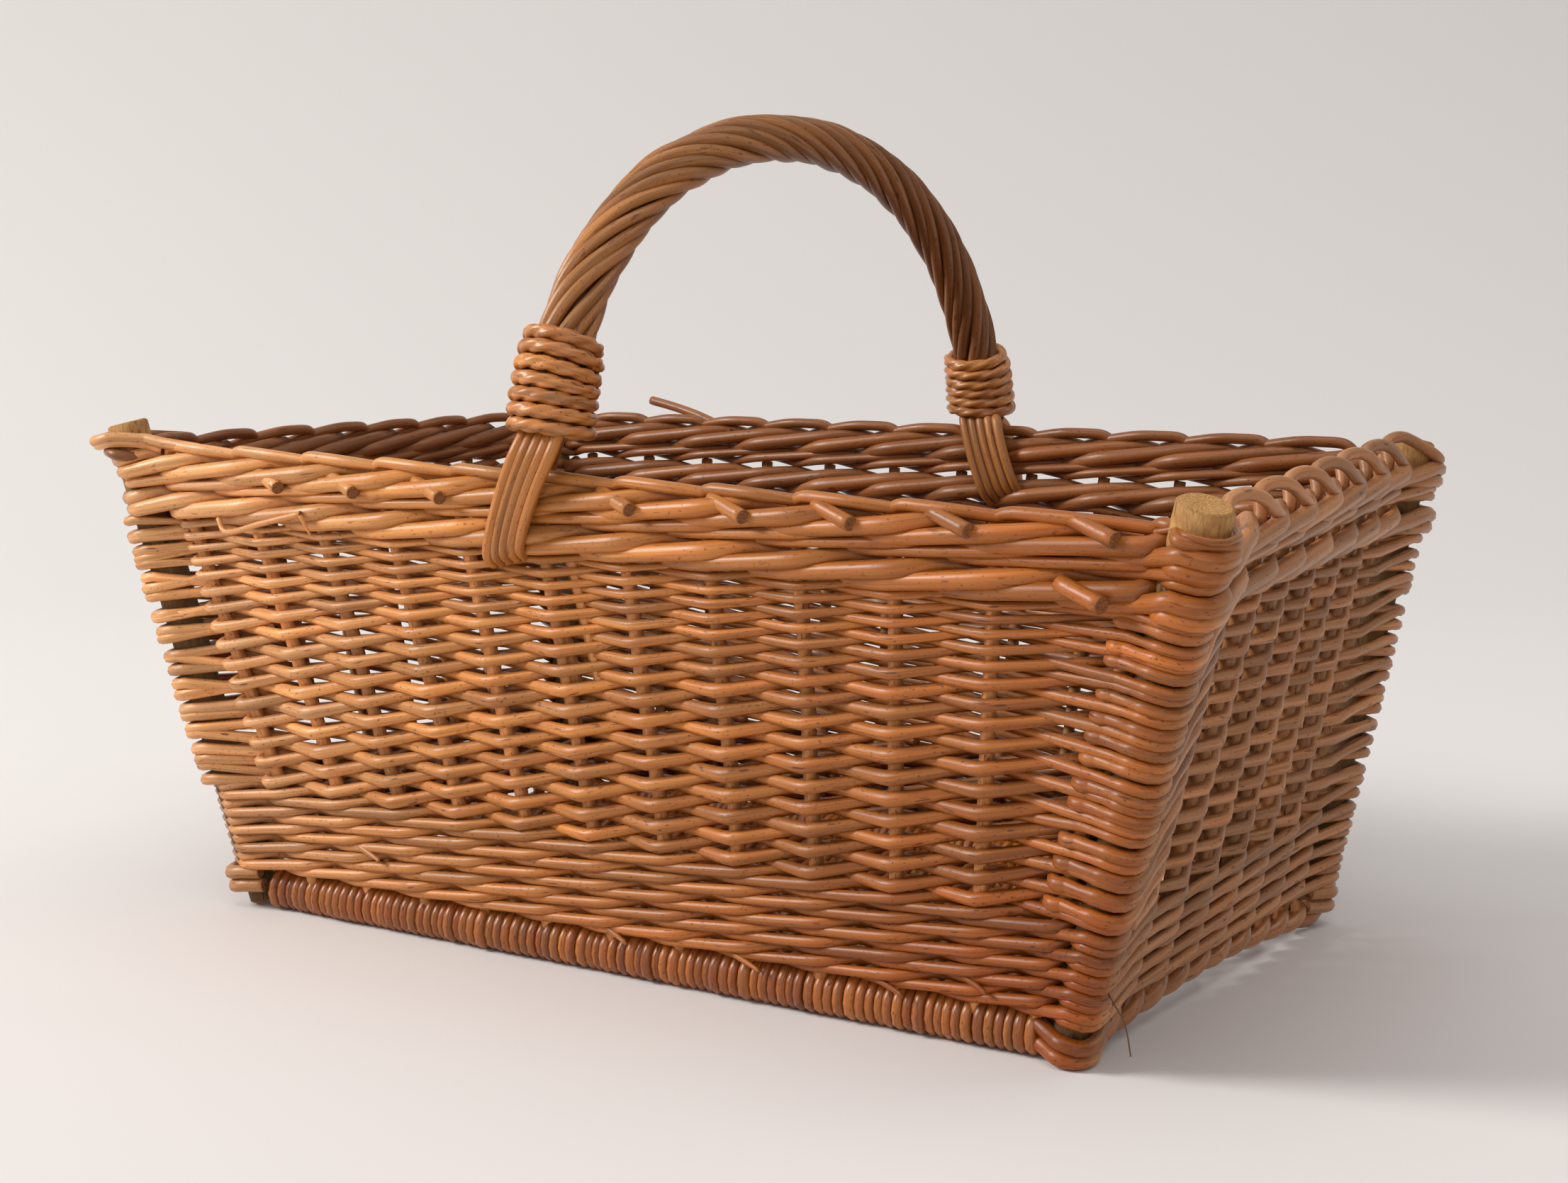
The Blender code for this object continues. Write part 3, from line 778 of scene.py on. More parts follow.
class RodPlan:
    """Where one siding rod goes: its level, half pitch and side (1 outside, -1 inside) at the
    uprights it passes."""

    def __init__(self):
        self.passes = {}

    def pass_at(self, place, level, half, side):
        self.passes[place] = level, half, side

    def pass_row(self, place, rows, row):
        if is_post(place):
            level, side = rows.level(row) + rng.normal(0, POST_SCATTER), 1
        else:
            level, side = rows.woven_level(row), -1 if row % 2 else 1
        self.pass_at(place, level, rows.half(row) * rows.thickness, side)

    def pass_side_walls(self, first, last, row):
        """Climbs from a row at the first place, as far as the last place or the top row, and
        gives the place where it stops."""
        for place in range(first, min(last, first + SIDE_ROWS - row) + 1):
            self.pass_row(place, SIDE, row + place - first)
        return min(last, first + SIDE_ROWS - 1 + LAST_ROW_END - row)

    def pass_front(self, first, row):
        """Climbs along the front from a row at the first stake. A rod that is outside at the
        last stake lies there in the corner's stack. Gives the place where it stops, and its
        number in the stack or nothing."""
        for place in range(first, min(FRONT_RIGHT, first + FRONT_ROWS - row + 1)):
            self.pass_row(place, FRONT, row + place - first)
        at_last = row + FRONT_RIGHT - 1 - first
        if at_last > FRONT_ROWS - 1:
            return first + FRONT_ROWS - 1 + LAST_ROW_END - row, None
        if at_last % 2:
            self.pass_at(FRONT_RIGHT, FRONT.woven_level(at_last), FRONT.half(at_last), -1)
            return FRONT_RIGHT - END_BEFORE_POST, None
        return FRONT_RIGHT, at_last // 2

    def pass_right_corner(self, item):
        """Lies in the corner's stack, and goes on round the side walls."""
        stack = STACK_ORDER.index(item)
        level = STACK_LEVELS[stack] + rng.normal(0, STACK_SCATTER)
        half = STACK_HALVES[stack] * (THROUGH_SHARE if item[0] == "through" else TURNED_SHARE)
        for place in (FRONT_RIGHT - 1, FRONT_RIGHT):
            self.pass_at(place, level, half, 1)
        if item not in RIGHT_ROWS:
            self.pass_at(FRONT_RIGHT + 1, level, half, -1)
            return FRONT_RIGHT + END_PAST_POST
        row = RIGHT_ROWS.index(item) + 1
        self.pass_row(FRONT_RIGHT + 1, SIDE, row)
        return self.pass_side_walls(FRONT_RIGHT + 1, LOOP - 1, row)


def add_planned_rod(rods, plan, start, end, turn_at=None, tail_inside=0.0):
    course = Course(start, end)
    places = sorted(plan.passes)
    levels, halves, _ = zip(*(plan.passes[place] for place in places))
    level = np.interp(course.place, places, levels) + level_noise(course)
    between = 1 - np.abs(2 * (course.place % 1) - 1)
    thick = PACKING * MEAN_HEIGHT * np.interp(course.place, places, halves)
    radius = thick * (1 - THINNER_BETWEEN * between) * (1 + ROD_UNEVENNESS * wobble(course.place, 9.0))
    radius = radius * rng.uniform(0.95, 1.05)

    def offset_at(place):
        side = plan.passes[place][2] if place in plan.passes else -1
        here, half = (float(np.interp(place, places, values)) for values in (levels, halves))
        return rod_offset(side, place, here, half * MEAN_HEIGHT)

    offset = course.woven(offset_at) + 0.3 * MM * wobble(course.place, 1.7)
    offset = offset - tail_inside * smooth(1 - np.abs(course.place - start) / 0.6)
    points = course.points(level, offset)
    normals = course.normal
    if turn_at is not None:
        turn = stake_turn(turn_at, float(level[0]), float(radius[0]))
        points = np.vstack([turn, points])
        normals = np.vstack([np.tile(normals[0], (len(turn), 1)), normals])
        radius = np.concatenate([np.full(len(turn), radius[0]), radius])
    rods.add(points, radius, wall_colour(points, normals), cut_ends=NO_CUT)


def build_siding():
    through_rods, front_rods, right_rods, left_rods = Rods(), Rods(), Rods(), Rods()
    for number in range(TURNED_ROWS):
        plan = RodPlan()
        end = plan.pass_right_corner(("turned", number))
        add_planned_rod(right_rods, plan, FRONT_RIGHT - 1, end, turn_at=FRONT_RIGHT - 1)
    for first in range(FRONT_RIGHT + 1, LOOP - SIDE_ROWS + 1):
        add_side_starter(right_rods, first)
    for row in sorted(TUCKED):
        add_left_rod(left_rods, row, None)
    for number, row in enumerate(LEFT_ROWS):
        add_left_rod(through_rods, row, number)
    for first in range(3, FRONT_RIGHT):
        plan = RodPlan()
        plan.pass_row(first - 1, FRONT, -1)
        add_front_rod(front_rods, plan, first + FIRST_ROW, first, 0)
    for row in range(0, FRONT_ROWS, 2):
        add_front_rod(front_rods, RodPlan(), 1, 1, row, turn_at=1)
    through_rods.build("through_weave", wall_willow, "siding", ["front_siding"])
    front_rods.build("front_weave", wall_willow, "siding")
    right_rods.build("right_weave", wall_willow, "siding", ["right_siding", "rear_siding"])
    left_rods.build("left_weave", wall_willow, "siding", ["left_siding"])


def add_side_starter(rods, first):
    """A rod that starts at the foot of a side wall, just before an upright."""
    plan = RodPlan()
    plan.pass_row(first - 1, SIDE, -1)
    end = plan.pass_side_walls(first, LOOP - 1, 0)
    add_planned_rod(rods, plan, first + FIRST_ROW, end)


def add_left_rod(rods, row, number):
    """A rod that comes up the side walls to a row at the front left post, and then either ends
    behind the front's first stake or, as the front's rod of this number, goes on."""
    plan = RodPlan()
    plan.pass_row(-row - 1, SIDE, -1)
    plan.pass_side_walls(-row, 0, 0)
    if number is None:
        for place in (1, 2):
            plan.pass_at(place, SIDE.level(row - row % 2), SIDE.half(row), -1)
        add_planned_rod(rods, plan, FIRST_ROW - row, TUCKED_END, tail_inside=2 * MM)
    else:
        plan.pass_row(1, FRONT, 2 * number - 1)
        add_front_rod(rods, plan, FIRST_ROW - row, 2, 2 * number)


def add_front_rod(rods, plan, start, first, row, turn_at=None):
    end, number = plan.pass_front(first, row)
    if number is not None:
        end = plan.pass_right_corner(("through", number))
    add_planned_rod(rods, plan, start, end, turn_at=turn_at)


# --- waling: strands that pass in front of two uprights and behind the third ---

CYCLE = 3                   # uprights after which a strand's course repeats
# A strand's climb and swelling at these shares of its cycle
LIFT_AT, LIFT = (0, 1.5, 2.5, 3), (-0.5, 1.0, -1.0, -0.5)
SWELL_AT, SWELL = (0, 1.0, 1.5, 2.5, 3), (0.0, 1.0, 0.3, -1.0, 0.0)
BEHIND_POST = 0.8           # share of the full reach
FIRST_REACH, SECOND_REACH = 0.88, 1.12      # at the two uprights that a strand passes outside
# Pointed rod ends that stick out of the foot of the front: place and level
TIPS = ((6.4, 0.085), (8.3, 0.080), (10.2, 0.085), (11.3, 0.12), (2.6, 0.16))


def rim_rise(place):
    """How much higher the rim is than the frame's border, as a level: most along the rear."""
    return np.interp(place, [0, FRONT_RIGHT, REAR_RIGHT, REAR_LEFT, LOOP, LOOP + FRONT_RIGHT],
                     [0.0, 0.0, REAR_RIM_RISE, REAR_RIM_RISE, 0.0, 0.0]) / MEAN_HEIGHT


def add_wale(rods, level, radius, rise, colour_of, swell, raised=None):
    """One round of waling. Each strand climbs by the rise from each upright to the next while
    it is outside, and swells there by the share given. A rim's round, raised by a share of the
    rim's rise, has its long strokes on the inside of the rear and left walls."""
    for strand in range(CYCLE):
        course = Course(0, LOOP, per_span=8)

        def offset_at(place, strand=strand):
            phase = (place + strand) % CYCLE
            behind = phase == CYCLE - 1
            if is_post(place):
                reach = upright_radius(place, level) + radius
                return -reach * BEHIND_POST if behind else reach
            reach = STAKE_ROD + radius
            return -reach if behind else reach * lerp(FIRST_REACH, SECOND_REACH, phase)

        offset = course.woven(offset_at, sharpness=0.93) + 0.3 * MM * wobble(course.place, 2.5)
        away = (course.place > REAR_RIGHT + 0.5) & (course.place < LOOP - 0.5) & (raised is not None)
        offset = np.where(away & ~near_post(course.place), -offset, offset)
        phase = (course.place + strand) % CYCLE
        lift = np.interp(phase, LIFT_AT, LIFT)
        lift = np.where(away, -lift, lift) * rise / MEAN_HEIGHT
        size = 1 + swell * np.interp(phase, SWELL_AT, SWELL)
        thick = radius * size * (1 + ROD_UNEVENNESS * wobble(course.place, 7.0))
        lift = lift + (raised or 0.0) * rim_rise(course.place) + level_noise(course)
        points = course.points(level + lift, offset)
        rods.add(points, thick, colour_of(points, course.normal), cut_ends=NO_CUT)


def build_upsett():
    rods = Rods()
    low, high = layer_span("upsett")
    low += 2 * COIL_RISE / MEAN_HEIGHT
    for i in range(UPSETT_ROUNDS):
        level = lerp(low, high, (i + 0.5) / UPSETT_ROUNDS)
        add_wale(rods, level, UPSETT_ROD * 1.08, UPSETT_ROD * 1.8, wall_colour, swell=0.15)
    for place, level in TIPS:
        course = Course(place - 0.4, place, per_span=12)
        t = np.linspace(0, 1, len(course.place))
        points = course.points(level + 0.018 * (1 - t), (4.5 + 4.5 * t) * MM)
        rods.add(points, UPSETT_ROD * (0.8 - 0.45 * t), wall_colour(points, course.normal))
    rods.build("upsett_weave", wall_willow, "wale", ["upsett"])


def build_top_wale():
    rods = Rods()
    low, high = layer_span("top_wale")
    add_wale(rods, lerp(low, high, 0.36), WALE_ROD, WALE_ROD * 1.55, rim_colour, 0.16, raised=0.3)
    add_wale(rods, high - 0.002, PAIRING_ROD, PAIRING_ROD * 1.6, rim_colour, 0.1, raised=0.65)
    rods.build("top_wale_weave", rim_willow, "wale", ["top_wale"])


# --- border ---

# A bent stake's run along the rim, at these shares of a place past its own upright: its height
# over the border as a level, its offset in mm, and how far it stands out over a post in mm
BENT_AT = (0, 0.2, 0.6, 1.0, 1.5)
FLAT_RUN = (0.003, 0.007, 0.005, -0.003, -0.022)
ARCHED_RUN = (0.010, 0.036, 0.026, -0.006, -0.030)
BENT_STAKES = {"front": (FLAT_RUN, (0.5, 2.2, 3.0, 0.5, -5.0), 11.0),
               "right": (ARCHED_RUN, (-4.0, -3.0, 2.5, 5.5, 3.0), 6.0),
               "rear": (FLAT_RUN, (-0.5, -2.2, -3.0, -0.5, 5.0), 11.0),
               "left": (FLAT_RUN, (-0.5, -2.2, -3.0, -0.5, 5.0), 11.0)}
# The bend itself: how far below the border's top as a level, and how far back in mm
BEND = ((0.045, 1.0), (0.022, 2.0), (0.008, 1.5))
# Split rods round the front left post: height over the border, stand-out in mm, length in places
SPLIT_RODS = ((0.012, 1.5, 0.85), (0.020, 2.3, 1.45))
# Loose ends: wall, (x, z, offset) stations in mm, and radius at the start and end in mm
LOOSE_ENDS = (
    ("front", ((-188.8, 174.2, 8.0), (-181.9, 169.5, 10.5), (-160.0, 174.5, 11.5), (-137.6, 179.5, 11.0)),
     1.1, 1.3),
    ("front", ((-137.6, 179.0, 11.5), (-134.5, 171.0, 10.5)), 0.9, 0.5),
    ("rear", ((-179.3, 211.5, 1.0), (-164.1, 208.5, 0.5), (-146.3, 204.0, -0.5), (-126.0, 197.0, -1.0)),
     2.3, 2.3),
)
HAIR = ((12, -2, 36), (20, -8, 29), (27, -10, 20), (29, -9, 9))    # mm from the front right foot
HAIR_RADIUS = 0.28 * MM


def facing(wall, points):
    return np.tile(NORMALS[WALLS.index(wall)], (len(points), 1))


def add_rim_reed(rods, place, controls, radius):
    """A reed round a corner's rim, by its shift in places, level and offset in mm."""
    controls = np.array(controls) + [place, 0.0, 0.0]
    shifts, levels, offsets = through(controls, 7).T
    course = Course(float(shifts[0]), float(shifts[-1]), per_span=14)
    level = np.interp(course.place, shifts, levels) + rim_rise(course.place % LOOP)
    offset = np.interp(course.place, shifts, offsets) * MM
    to_upright = np.abs(course.place - np.round(course.place))
    post_share = near_post(course.place) * np.maximum(0.0, 1 - 1.6 * to_upright)
    points = course.points(level, offset + post_share * (offset > 0) * 6 * MM)
    rods.add(points, radius, rim_colour(points, course.normal), sides=10, cut_ends=(False, True))


def add_cut_end(rods, x, z, radius, outwards=0.0):
    """A rod's cut end that comes out of the front of the rim, pointing down to the right."""
    points = through([wall_point("front", x - 18 * MM, z + 4.2 * MM, 2.5 * MM + outwards),
                      wall_point("front", x, z + 0.3 * MM, 10 * MM + outwards)])
    rods.add(points, radius, rim_colour(points, facing("front", points)), sides=12)


def add_bent_stake(rods, place, high):
    """A stake's end: it comes up on the inside, bends over and runs along the rim's top."""
    wall = WALLS[wall_of(place)]
    heights, offsets, over_post = BENT_STAKES[wall]
    course = Course(place, place + 1.5, per_span=12)
    run = course.place - place
    level = high + np.interp(run, BENT_AT, heights) + rim_rise(course.place)
    offset = np.interp(run, BENT_AT, offsets) + over_post * near_post(course.place, 0.3)
    top_points = course.points(level, offset * MM)
    along = unit(top_points[1] - top_points[0])
    bend_level = high + float(rim_rise(place))
    bend = [lerp(FOOT[place], TOP[place], bend_level - drop) - along * back * MM for drop, back in BEND]
    points = through(np.vstack([bend, top_points[1::3]]), 5)
    radius = BORDER_ROD * (0.88 - 0.12 * np.linspace(0, 1, len(points)))
    rods.add(points, radius, rim_colour(points, facing(wall, points)), sides=10, cut_ends=NO_CUT)


def build_border():
    rods = Rods()
    low, high = layer_span("border")
    add_wale(rods, lerp(low, high, 0.38), BORDER_ROD, BORDER_ROD * 1.7, rim_colour, 0.18, raised=1.0)
    for place in range(LOOP):
        if not is_post(place):
            add_bent_stake(rods, place, high)
    for x, z in CUT_ENDS:
        add_cut_end(rods, x, z, BORDER_ROD * 0.95)
    add_cut_end(rods, *LOW_CUT_END, BORDER_ROD * 1.1, outwards=3.5 * MM)
    for height, out, length in SPLIT_RODS:
        level = high + height
        add_rim_reed(rods, LOOP, ((-0.9, level - 0.010, 2.5), (-0.4, level, 4.0 + out),
                                  (0.0, level + 0.004, 4.5 + out), (0.45, level, 2.0 + out),
                                  (length, level - 0.016, 1.0)), BORDER_ROD * 0.85)
    add_rim_reed(rods, FRONT_RIGHT, ((-0.95, high - 0.006, 3.0), (-0.5, high + 0.004, 4.5),
                                     (0.0, high + 0.008, 6.5), (0.3, high + 0.010, 5.0),
                                     (0.5, high + 0.026, 2.0)), BORDER_ROD * 0.42)
    rods.build("border_weave", rim_willow, "border", ["border"])


def build_loose_ends():
    """Split reeds, a stray rod end and a hair of bark that stand off the weave."""
    rods = Rods()
    for wall, stations, thick, thin in LOOSE_ENDS:
        points = through([wall_point(wall, x * MM, z * MM, out * MM) for x, z, out in stations])
        radius = np.linspace(thick, thin, len(points)) * MM
        rods.add(points, radius, rim_colour(points, facing(wall, points)))
    rods.add(through(POSTS[1][0] + np.array(HAIR) * MM), HAIR_RADIUS, PITH * 0.5, sides=5)
    rods.build("loose_ends", rim_willow, "border")


# --- base ---

COIL_STEPS = 15
COIL_ARC = (-0.75, 1.3)     # half turns from which and to which a weaver goes round the stick
WEAVER_LIFT = 4.7 * MM      # how far the base's weavers pass over and under the inner sticks
EDGE_TURNS = 5.5
EDGE_BOW = 6.5 * MM         # how much higher the short edge is in the middle than at its ends
EDGE_HEIGHT = 6.2 * MM
FOOT_PITCH = 5.8 * MM


def above_floor(points, height):
    points[:, 2] = np.maximum(points[:, 2], height)
    return points


def stick_line(side):
    """Left and right end of an outer base stick's middle line, and its radius."""
    low, high = box_of(f"{side}_base_stick")
    radius = (high[2] - low[2]) / 2
    ys = (low[1] + radius, high[1] - radius)
    left_y, right_y = ys if side == "front" else ys[::-1]
    z = (low[2] + high[2]) / 2
    return np.array([low[0], left_y, z]), np.array([high[0], right_y, z]), radius


def build_base():
    sticks = [stick_line("front"), stick_line("rear")]
    for side, outward, (low, high, radius) in zip(("front", "rear"), (1, -1), sticks):
        rods = Rods()
        add_coil(rods, low, high, radius, outward)
        rods.add(straight(low, high, 12), radius * 0.9, STAKE_TAN)
        rods.build(f"{side}_base_coil", base_willow, "base", [f"{side}_base_stick"])
    rods = Rods()
    add_base_weave(rods, *sticks)
    add_edge_pairing(rods)
    rods.build("base_rods", base_willow, "base", ["base_weave"])


def add_coil(rods, low, high, core, outward):
    """Weavers that turn round an outer base stick, side by side, in uneven groups."""
    along = unit(high - low)
    across = unit(np.cross(along, UP)) * outward
    low = low + UP * COIL_RISE
    length = np.linalg.norm(high - low)
    angles = np.linspace(*COIL_ARC, COIL_STEPS) * math.pi
    t = np.linspace(-0.5, 0.5, COIL_STEPS)
    place = 1.0 * MM
    left_in_group = 0
    while place < length - 2 * MM:
        radius = COIL_ROD * rng.uniform(0.88, 1.12)
        if left_in_group == 0:
            left_in_group = int(rng.integers(4, 9))
            radius *= 1.12
            place += 0.6 * MM
        left_in_group -= 1
        reach = core + COIL_RISE + radius - 0.6 * MM + rng.uniform(0, 0.9 * MM)
        slant = rng.uniform(0.6 * MM, 2.0 * MM)
        points = (low + along * column(place + radius + slant * t)
                  + UP * column(np.sin(angles) * reach) + across * column(np.cos(angles) * reach))
        warm = rng.uniform(0.0, 0.75)
        colour = mixed(mixed(ORANGE, HONEY, 0.4), RED_BROWN, warm) * rod_brightness(0.12)
        rods.add(above_floor(points, radius + FLOOR_GAP), radius, colour, cut_ends=NO_CUT)
        place += radius * 2 * 0.97


def add_base_weave(rods, front, rear):
    """Flat bottom: inner sticks along the base, and weavers across them."""
    lines = [(lerp(front[0], rear[0], share), lerp(front[1], rear[1], share))
             for share in np.arange(INNER_STICKS + 2) / (INNER_STICKS + 1)]
    for low, high in lines[1:-1]:
        rods.add(straight(low, high, 14), BASE_STICK, STAKE_TAN * rod_brightness())
    for number in range(BASE_WEAVERS):
        controls = []
        for i, (low, high) in enumerate(lines):
            lift = 0 if i in (0, len(lines) - 1) else WEAVER_LIFT * (-1) ** (i + number)
            point = lerp(low, high, (number + 0.5) / BASE_WEAVERS)
            controls.append(point + [rng.normal(0, 0.2 * MM), 0, lift])
        points = above_floor(through(controls, 4), 2.4 * MM)
        # painted shade: the base weavers take part of the darker colour of the basket's inside
        colour = mixed(INSIDE_SHADE, ORANGE * 0.9, rng.uniform(0, 0.6)) * rod_brightness()
        rods.add(points, BASE_WEAVER, colour, sides=6, cut_ends=NO_CUT)


def add_edge_pairing(rods):
    """Two thick strands twisted round each other along the short edges of the base, bowed up
    in the middle."""
    t = np.linspace(-0.01, 1.01, 120)
    for first, second, outward in ((1, 2, 4 * MM), (0, 3, -4 * MM)):
        a, b = POSTS[first][0], POSTS[second][0]
        line = a + (b - a) * column(t) + [outward, 0, 0]
        line[:, 2] = EDGE_BOW * np.sin(np.clip(t, 0, 1) * math.pi) + EDGE_HEIGHT
        for strand in range(2):
            angle = TAU * (t * EDGE_TURNS + strand / 2)
            twist = np.column_stack([np.cos(angle) * 2.8, np.zeros(len(t)), np.sin(angle) * 2.6]) * MM
            # painted shade: the edge strands take part of the short right side's duller shaded colour
            colour = mixed(DULL_SHADE, ORANGE, 0.25) * rod_brightness(0.1)
            rods.add(line + twist, EDGE_ROD, colour, cut_ends=NO_CUT)


def build_corner_feet():
    """Thick rods bent round the foot of each corner post, the lowest close to the floor."""
    rods = Rods()
    for post, post_place in zip(POSTS, POST_AT):
        lowest, reach = (0, 1.0) if post_place == FRONT_RIGHT else (1, 0.5)
        for i in (lowest, lowest + 1):
            course = Course(post_place - 0.9 * reach, post_place + 0.55 * reach)
            away = np.abs(course.place - post_place)
            offset = np.interp(away, [0, 0.35, 1.0], [post[2] + CORNER_ROD * 0.9, 6 * MM, 1 * MM])
            level = (5.5 * MM + i * FOOT_PITCH) / MEAN_HEIGHT + 0.012 * away ** 1.5
            points = above_floor(course.points(level, offset), CORNER_ROD + FLOOR_GAP)
            rods.add(points, CORNER_ROD, wall_colour(points, course.normal), sides=10)
    rods.build("corner_feet", wall_willow, "wale")


# --- handle ---

ROPING_RODS = 10
ROPING_TWIST = 50.0         # radians of twist per metre of handle
TWIST_SHARES = (0.45, 1, 0.85, 0.6)         # the twist eases towards both ends
RING_SIZES = (9.0, 8.4, 7.0, 7.8, 8.4)      # radius in mm of the ring of rods along the handle
HANDLE_FULLNESS = 2.07      # exponent of the arch's superellipse
ROPING_RADIUS = 10.4 * MM
SPRING_Z = 0.201            # height at which the arch starts
ARCH_LOW, ARCH_HIGH = box_of("handle_roping")
BOW_LOW, BOW_HIGH = box_of("handle_bow")
ARCH_HALF = (ARCH_HIGH[1] - ARCH_LOW[1]) / 2 - ROPING_RADIUS + 0.4 * MM
ARCH_Y = (ARCH_HIGH[1] + ARCH_LOW[1]) / 2
ARCH_RISE = ARCH_HIGH[2] - ROPING_RADIUS - SPRING_Z
FRONT_X = BOW_LOW[0] + BOW_ROD
REAR_X = BOW_HIGH[0] - BOW_ROD
BINDING_TURNS = {"front": 7, "rear": 6}
BINDING_TILT = 0.13         # drop of the binding's turns towards the right, per metre of width
BINDING_INSET = 3.5 * MM
BINDING_DEPTH = 0.94        # depth of a binding as a share of its width
BINDING_START = 2.2         # angle of its first turn's end
TURN_STEPS = 64
# Fans: side, sideways inset, insets to the foot and to the inner fan, start over the binding
FANS = (("front", 11 * MM, 1.4, 1.35, 6 * MM), ("rear", -11 * MM, 0.9, 0.7, 0.0))
FAN_SPREAD = 15.5 * MM      # width of the five rods under the binding
LEG_DEPTH = 7 * MM          # from the leg's middle to the rods
# A fan's rod at these shares of its drop: how far it stands off the wall's middle in mm
FAN_STATIONS = ((0.02, 12.0), (0.30, 13.2), (0.60, 12.4), (0.86, 9.5), (0.98, 3.0))


def arch_centres(count):
    """Centre line of the handle's arch from the front leg to the rear leg."""
    angles = np.linspace(math.pi, 0, count)
    cosine, sine = np.cos(angles), np.sin(angles)
    power = 2 / HANDLE_FULLNESS
    y = np.sign(cosine) * np.abs(cosine) ** power * ARCH_HALF
    z = np.abs(sine) ** power * ARCH_RISE + SPRING_Z
    x = lerp(FRONT_X, REAR_X, (y / ARCH_HALF + 1) / 2)
    return np.column_stack([x, y + ARCH_Y, z])


def binding_foot(side):
    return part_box(f"{side}_handle_binding")[0][2]


def build_roping():
    rods = Rods()
    arch = arch_centres(400)
    distance = lengths_along(arch)
    wanted = np.linspace(0, distance[-1], int(distance[-1] / (3.5 * MM)))
    centres = np.column_stack([np.interp(wanted, distance, values) for values in arch.T])
    start, end = (binding_foot(side) + 4 * MM for side in ("front", "rear"))
    centres = centres[centres[:, 2] > np.where(centres[:, 1] < ARCH_Y, start, end)]
    distance = lengths_along(centres)
    full = distance[-1]
    tangents = unit(np.gradient(centres, axis=0))
    sideways = unit(EAST - column(tangents @ EAST) * tangents)
    outward = np.cross(sideways, tangents)
    ease = np.interp(distance, [0, 0.05, full - 0.05, full], TWIST_SHARES)
    twist = np.concatenate([[0], np.cumsum((ease[1:] + ease[:-1]) / 2 * np.diff(distance))])
    ring = np.interp(distance, [0, 0.06, full * 0.5, full - 0.05, full], RING_SIZES) * MM
    for i in range(ROPING_RODS):
        angle = TAU * i / ROPING_RODS + twist * ROPING_TWIST + 0.10 * wobble(distance, 0.16)
        reach = ring + 0.5 * MM * wobble(distance, 0.09)
        points = centres + outward * column(np.cos(angle) * reach) + sideways * column(np.sin(angle) * reach)
        thick = ROPING_ROD * rng.uniform(0.93, 1.08) * (1 + 0.06 * wobble(distance, 0.2))
        darker = smooth((points[:, 1] + 0.08) / 0.2)
        colour = mixed(HANDLE_LIGHT, HANDLE_DARK, darker) * rod_brightness(0.14)
        rods.add(points, thick, colour, sides=10, cut_ends=NO_CUT)
    rods.add(centres, BOW_ROD, HANDLE_DARK, sides=10)
    rods.build("handle_roping_rods", handle_willow, "handle", ["handle_roping", "handle_bow"])


def leg_at(side, z):
    """Centre of the handle's leg at a height, and its direction upwards."""
    points = arch_centres(600)
    half = points[:300] if side == "front" else points[300:][::-1]
    here, above = (np.array([np.interp(height, half[:, 2], half[:, axis]) for axis in range(3)])
                   for height in (z, z + 0.01))
    return here, unit(above - here)


def build_bindings():
    for side, turns in BINDING_TURNS.items():
        low, high = box_of(f"{side}_handle_binding")
        bottom, top = low[2] + BINDING_INSET, high[2] - BINDING_INSET - 2 * MM
        rod_radius = (top - bottom) / turns / 2 * 1.10
        half_width = (high[0] - low[0]) / 2
        reach_x, reach_y = half_width - rod_radius, half_width * BINDING_DEPTH - rod_radius
        t = np.linspace(0, turns, turns * TURN_STEPS + 1)
        widen = np.interp(t / turns, [0, 0.2, 0.85, 1.0], [1.0, 1.02, 0.97, 0.84])
        points = []
        for value, wide in zip(t, widen):
            centre, up = leg_at(side, lerp(bottom, top, value / turns))
            east = unit(EAST - up[0] * up)
            angle = TAU * value + BINDING_START
            shift = math.cos(angle) * reach_x * wide
            points.append(centre + (east - up * BINDING_TILT) * shift
                          + np.cross(up, east) * math.sin(angle) * reach_y * wide)
        points = np.array(points) + UP * column(0.4 * MM * wobble(t, 1.3))
        colour = mixed(BINDING, HONEY, 0.5 + 0.5 * wobble(t, 2.1)) * (1 if side == "front" else 0.9)
        rods = Rods()
        rods.add(points, rod_radius * (1 + 0.06 * wobble(t, 1.1)), colour, sides=24, twisted=True)
        rods.build(f"{side}_binding_coil", binding_willow, "binding", [f"{side}_handle_binding"])


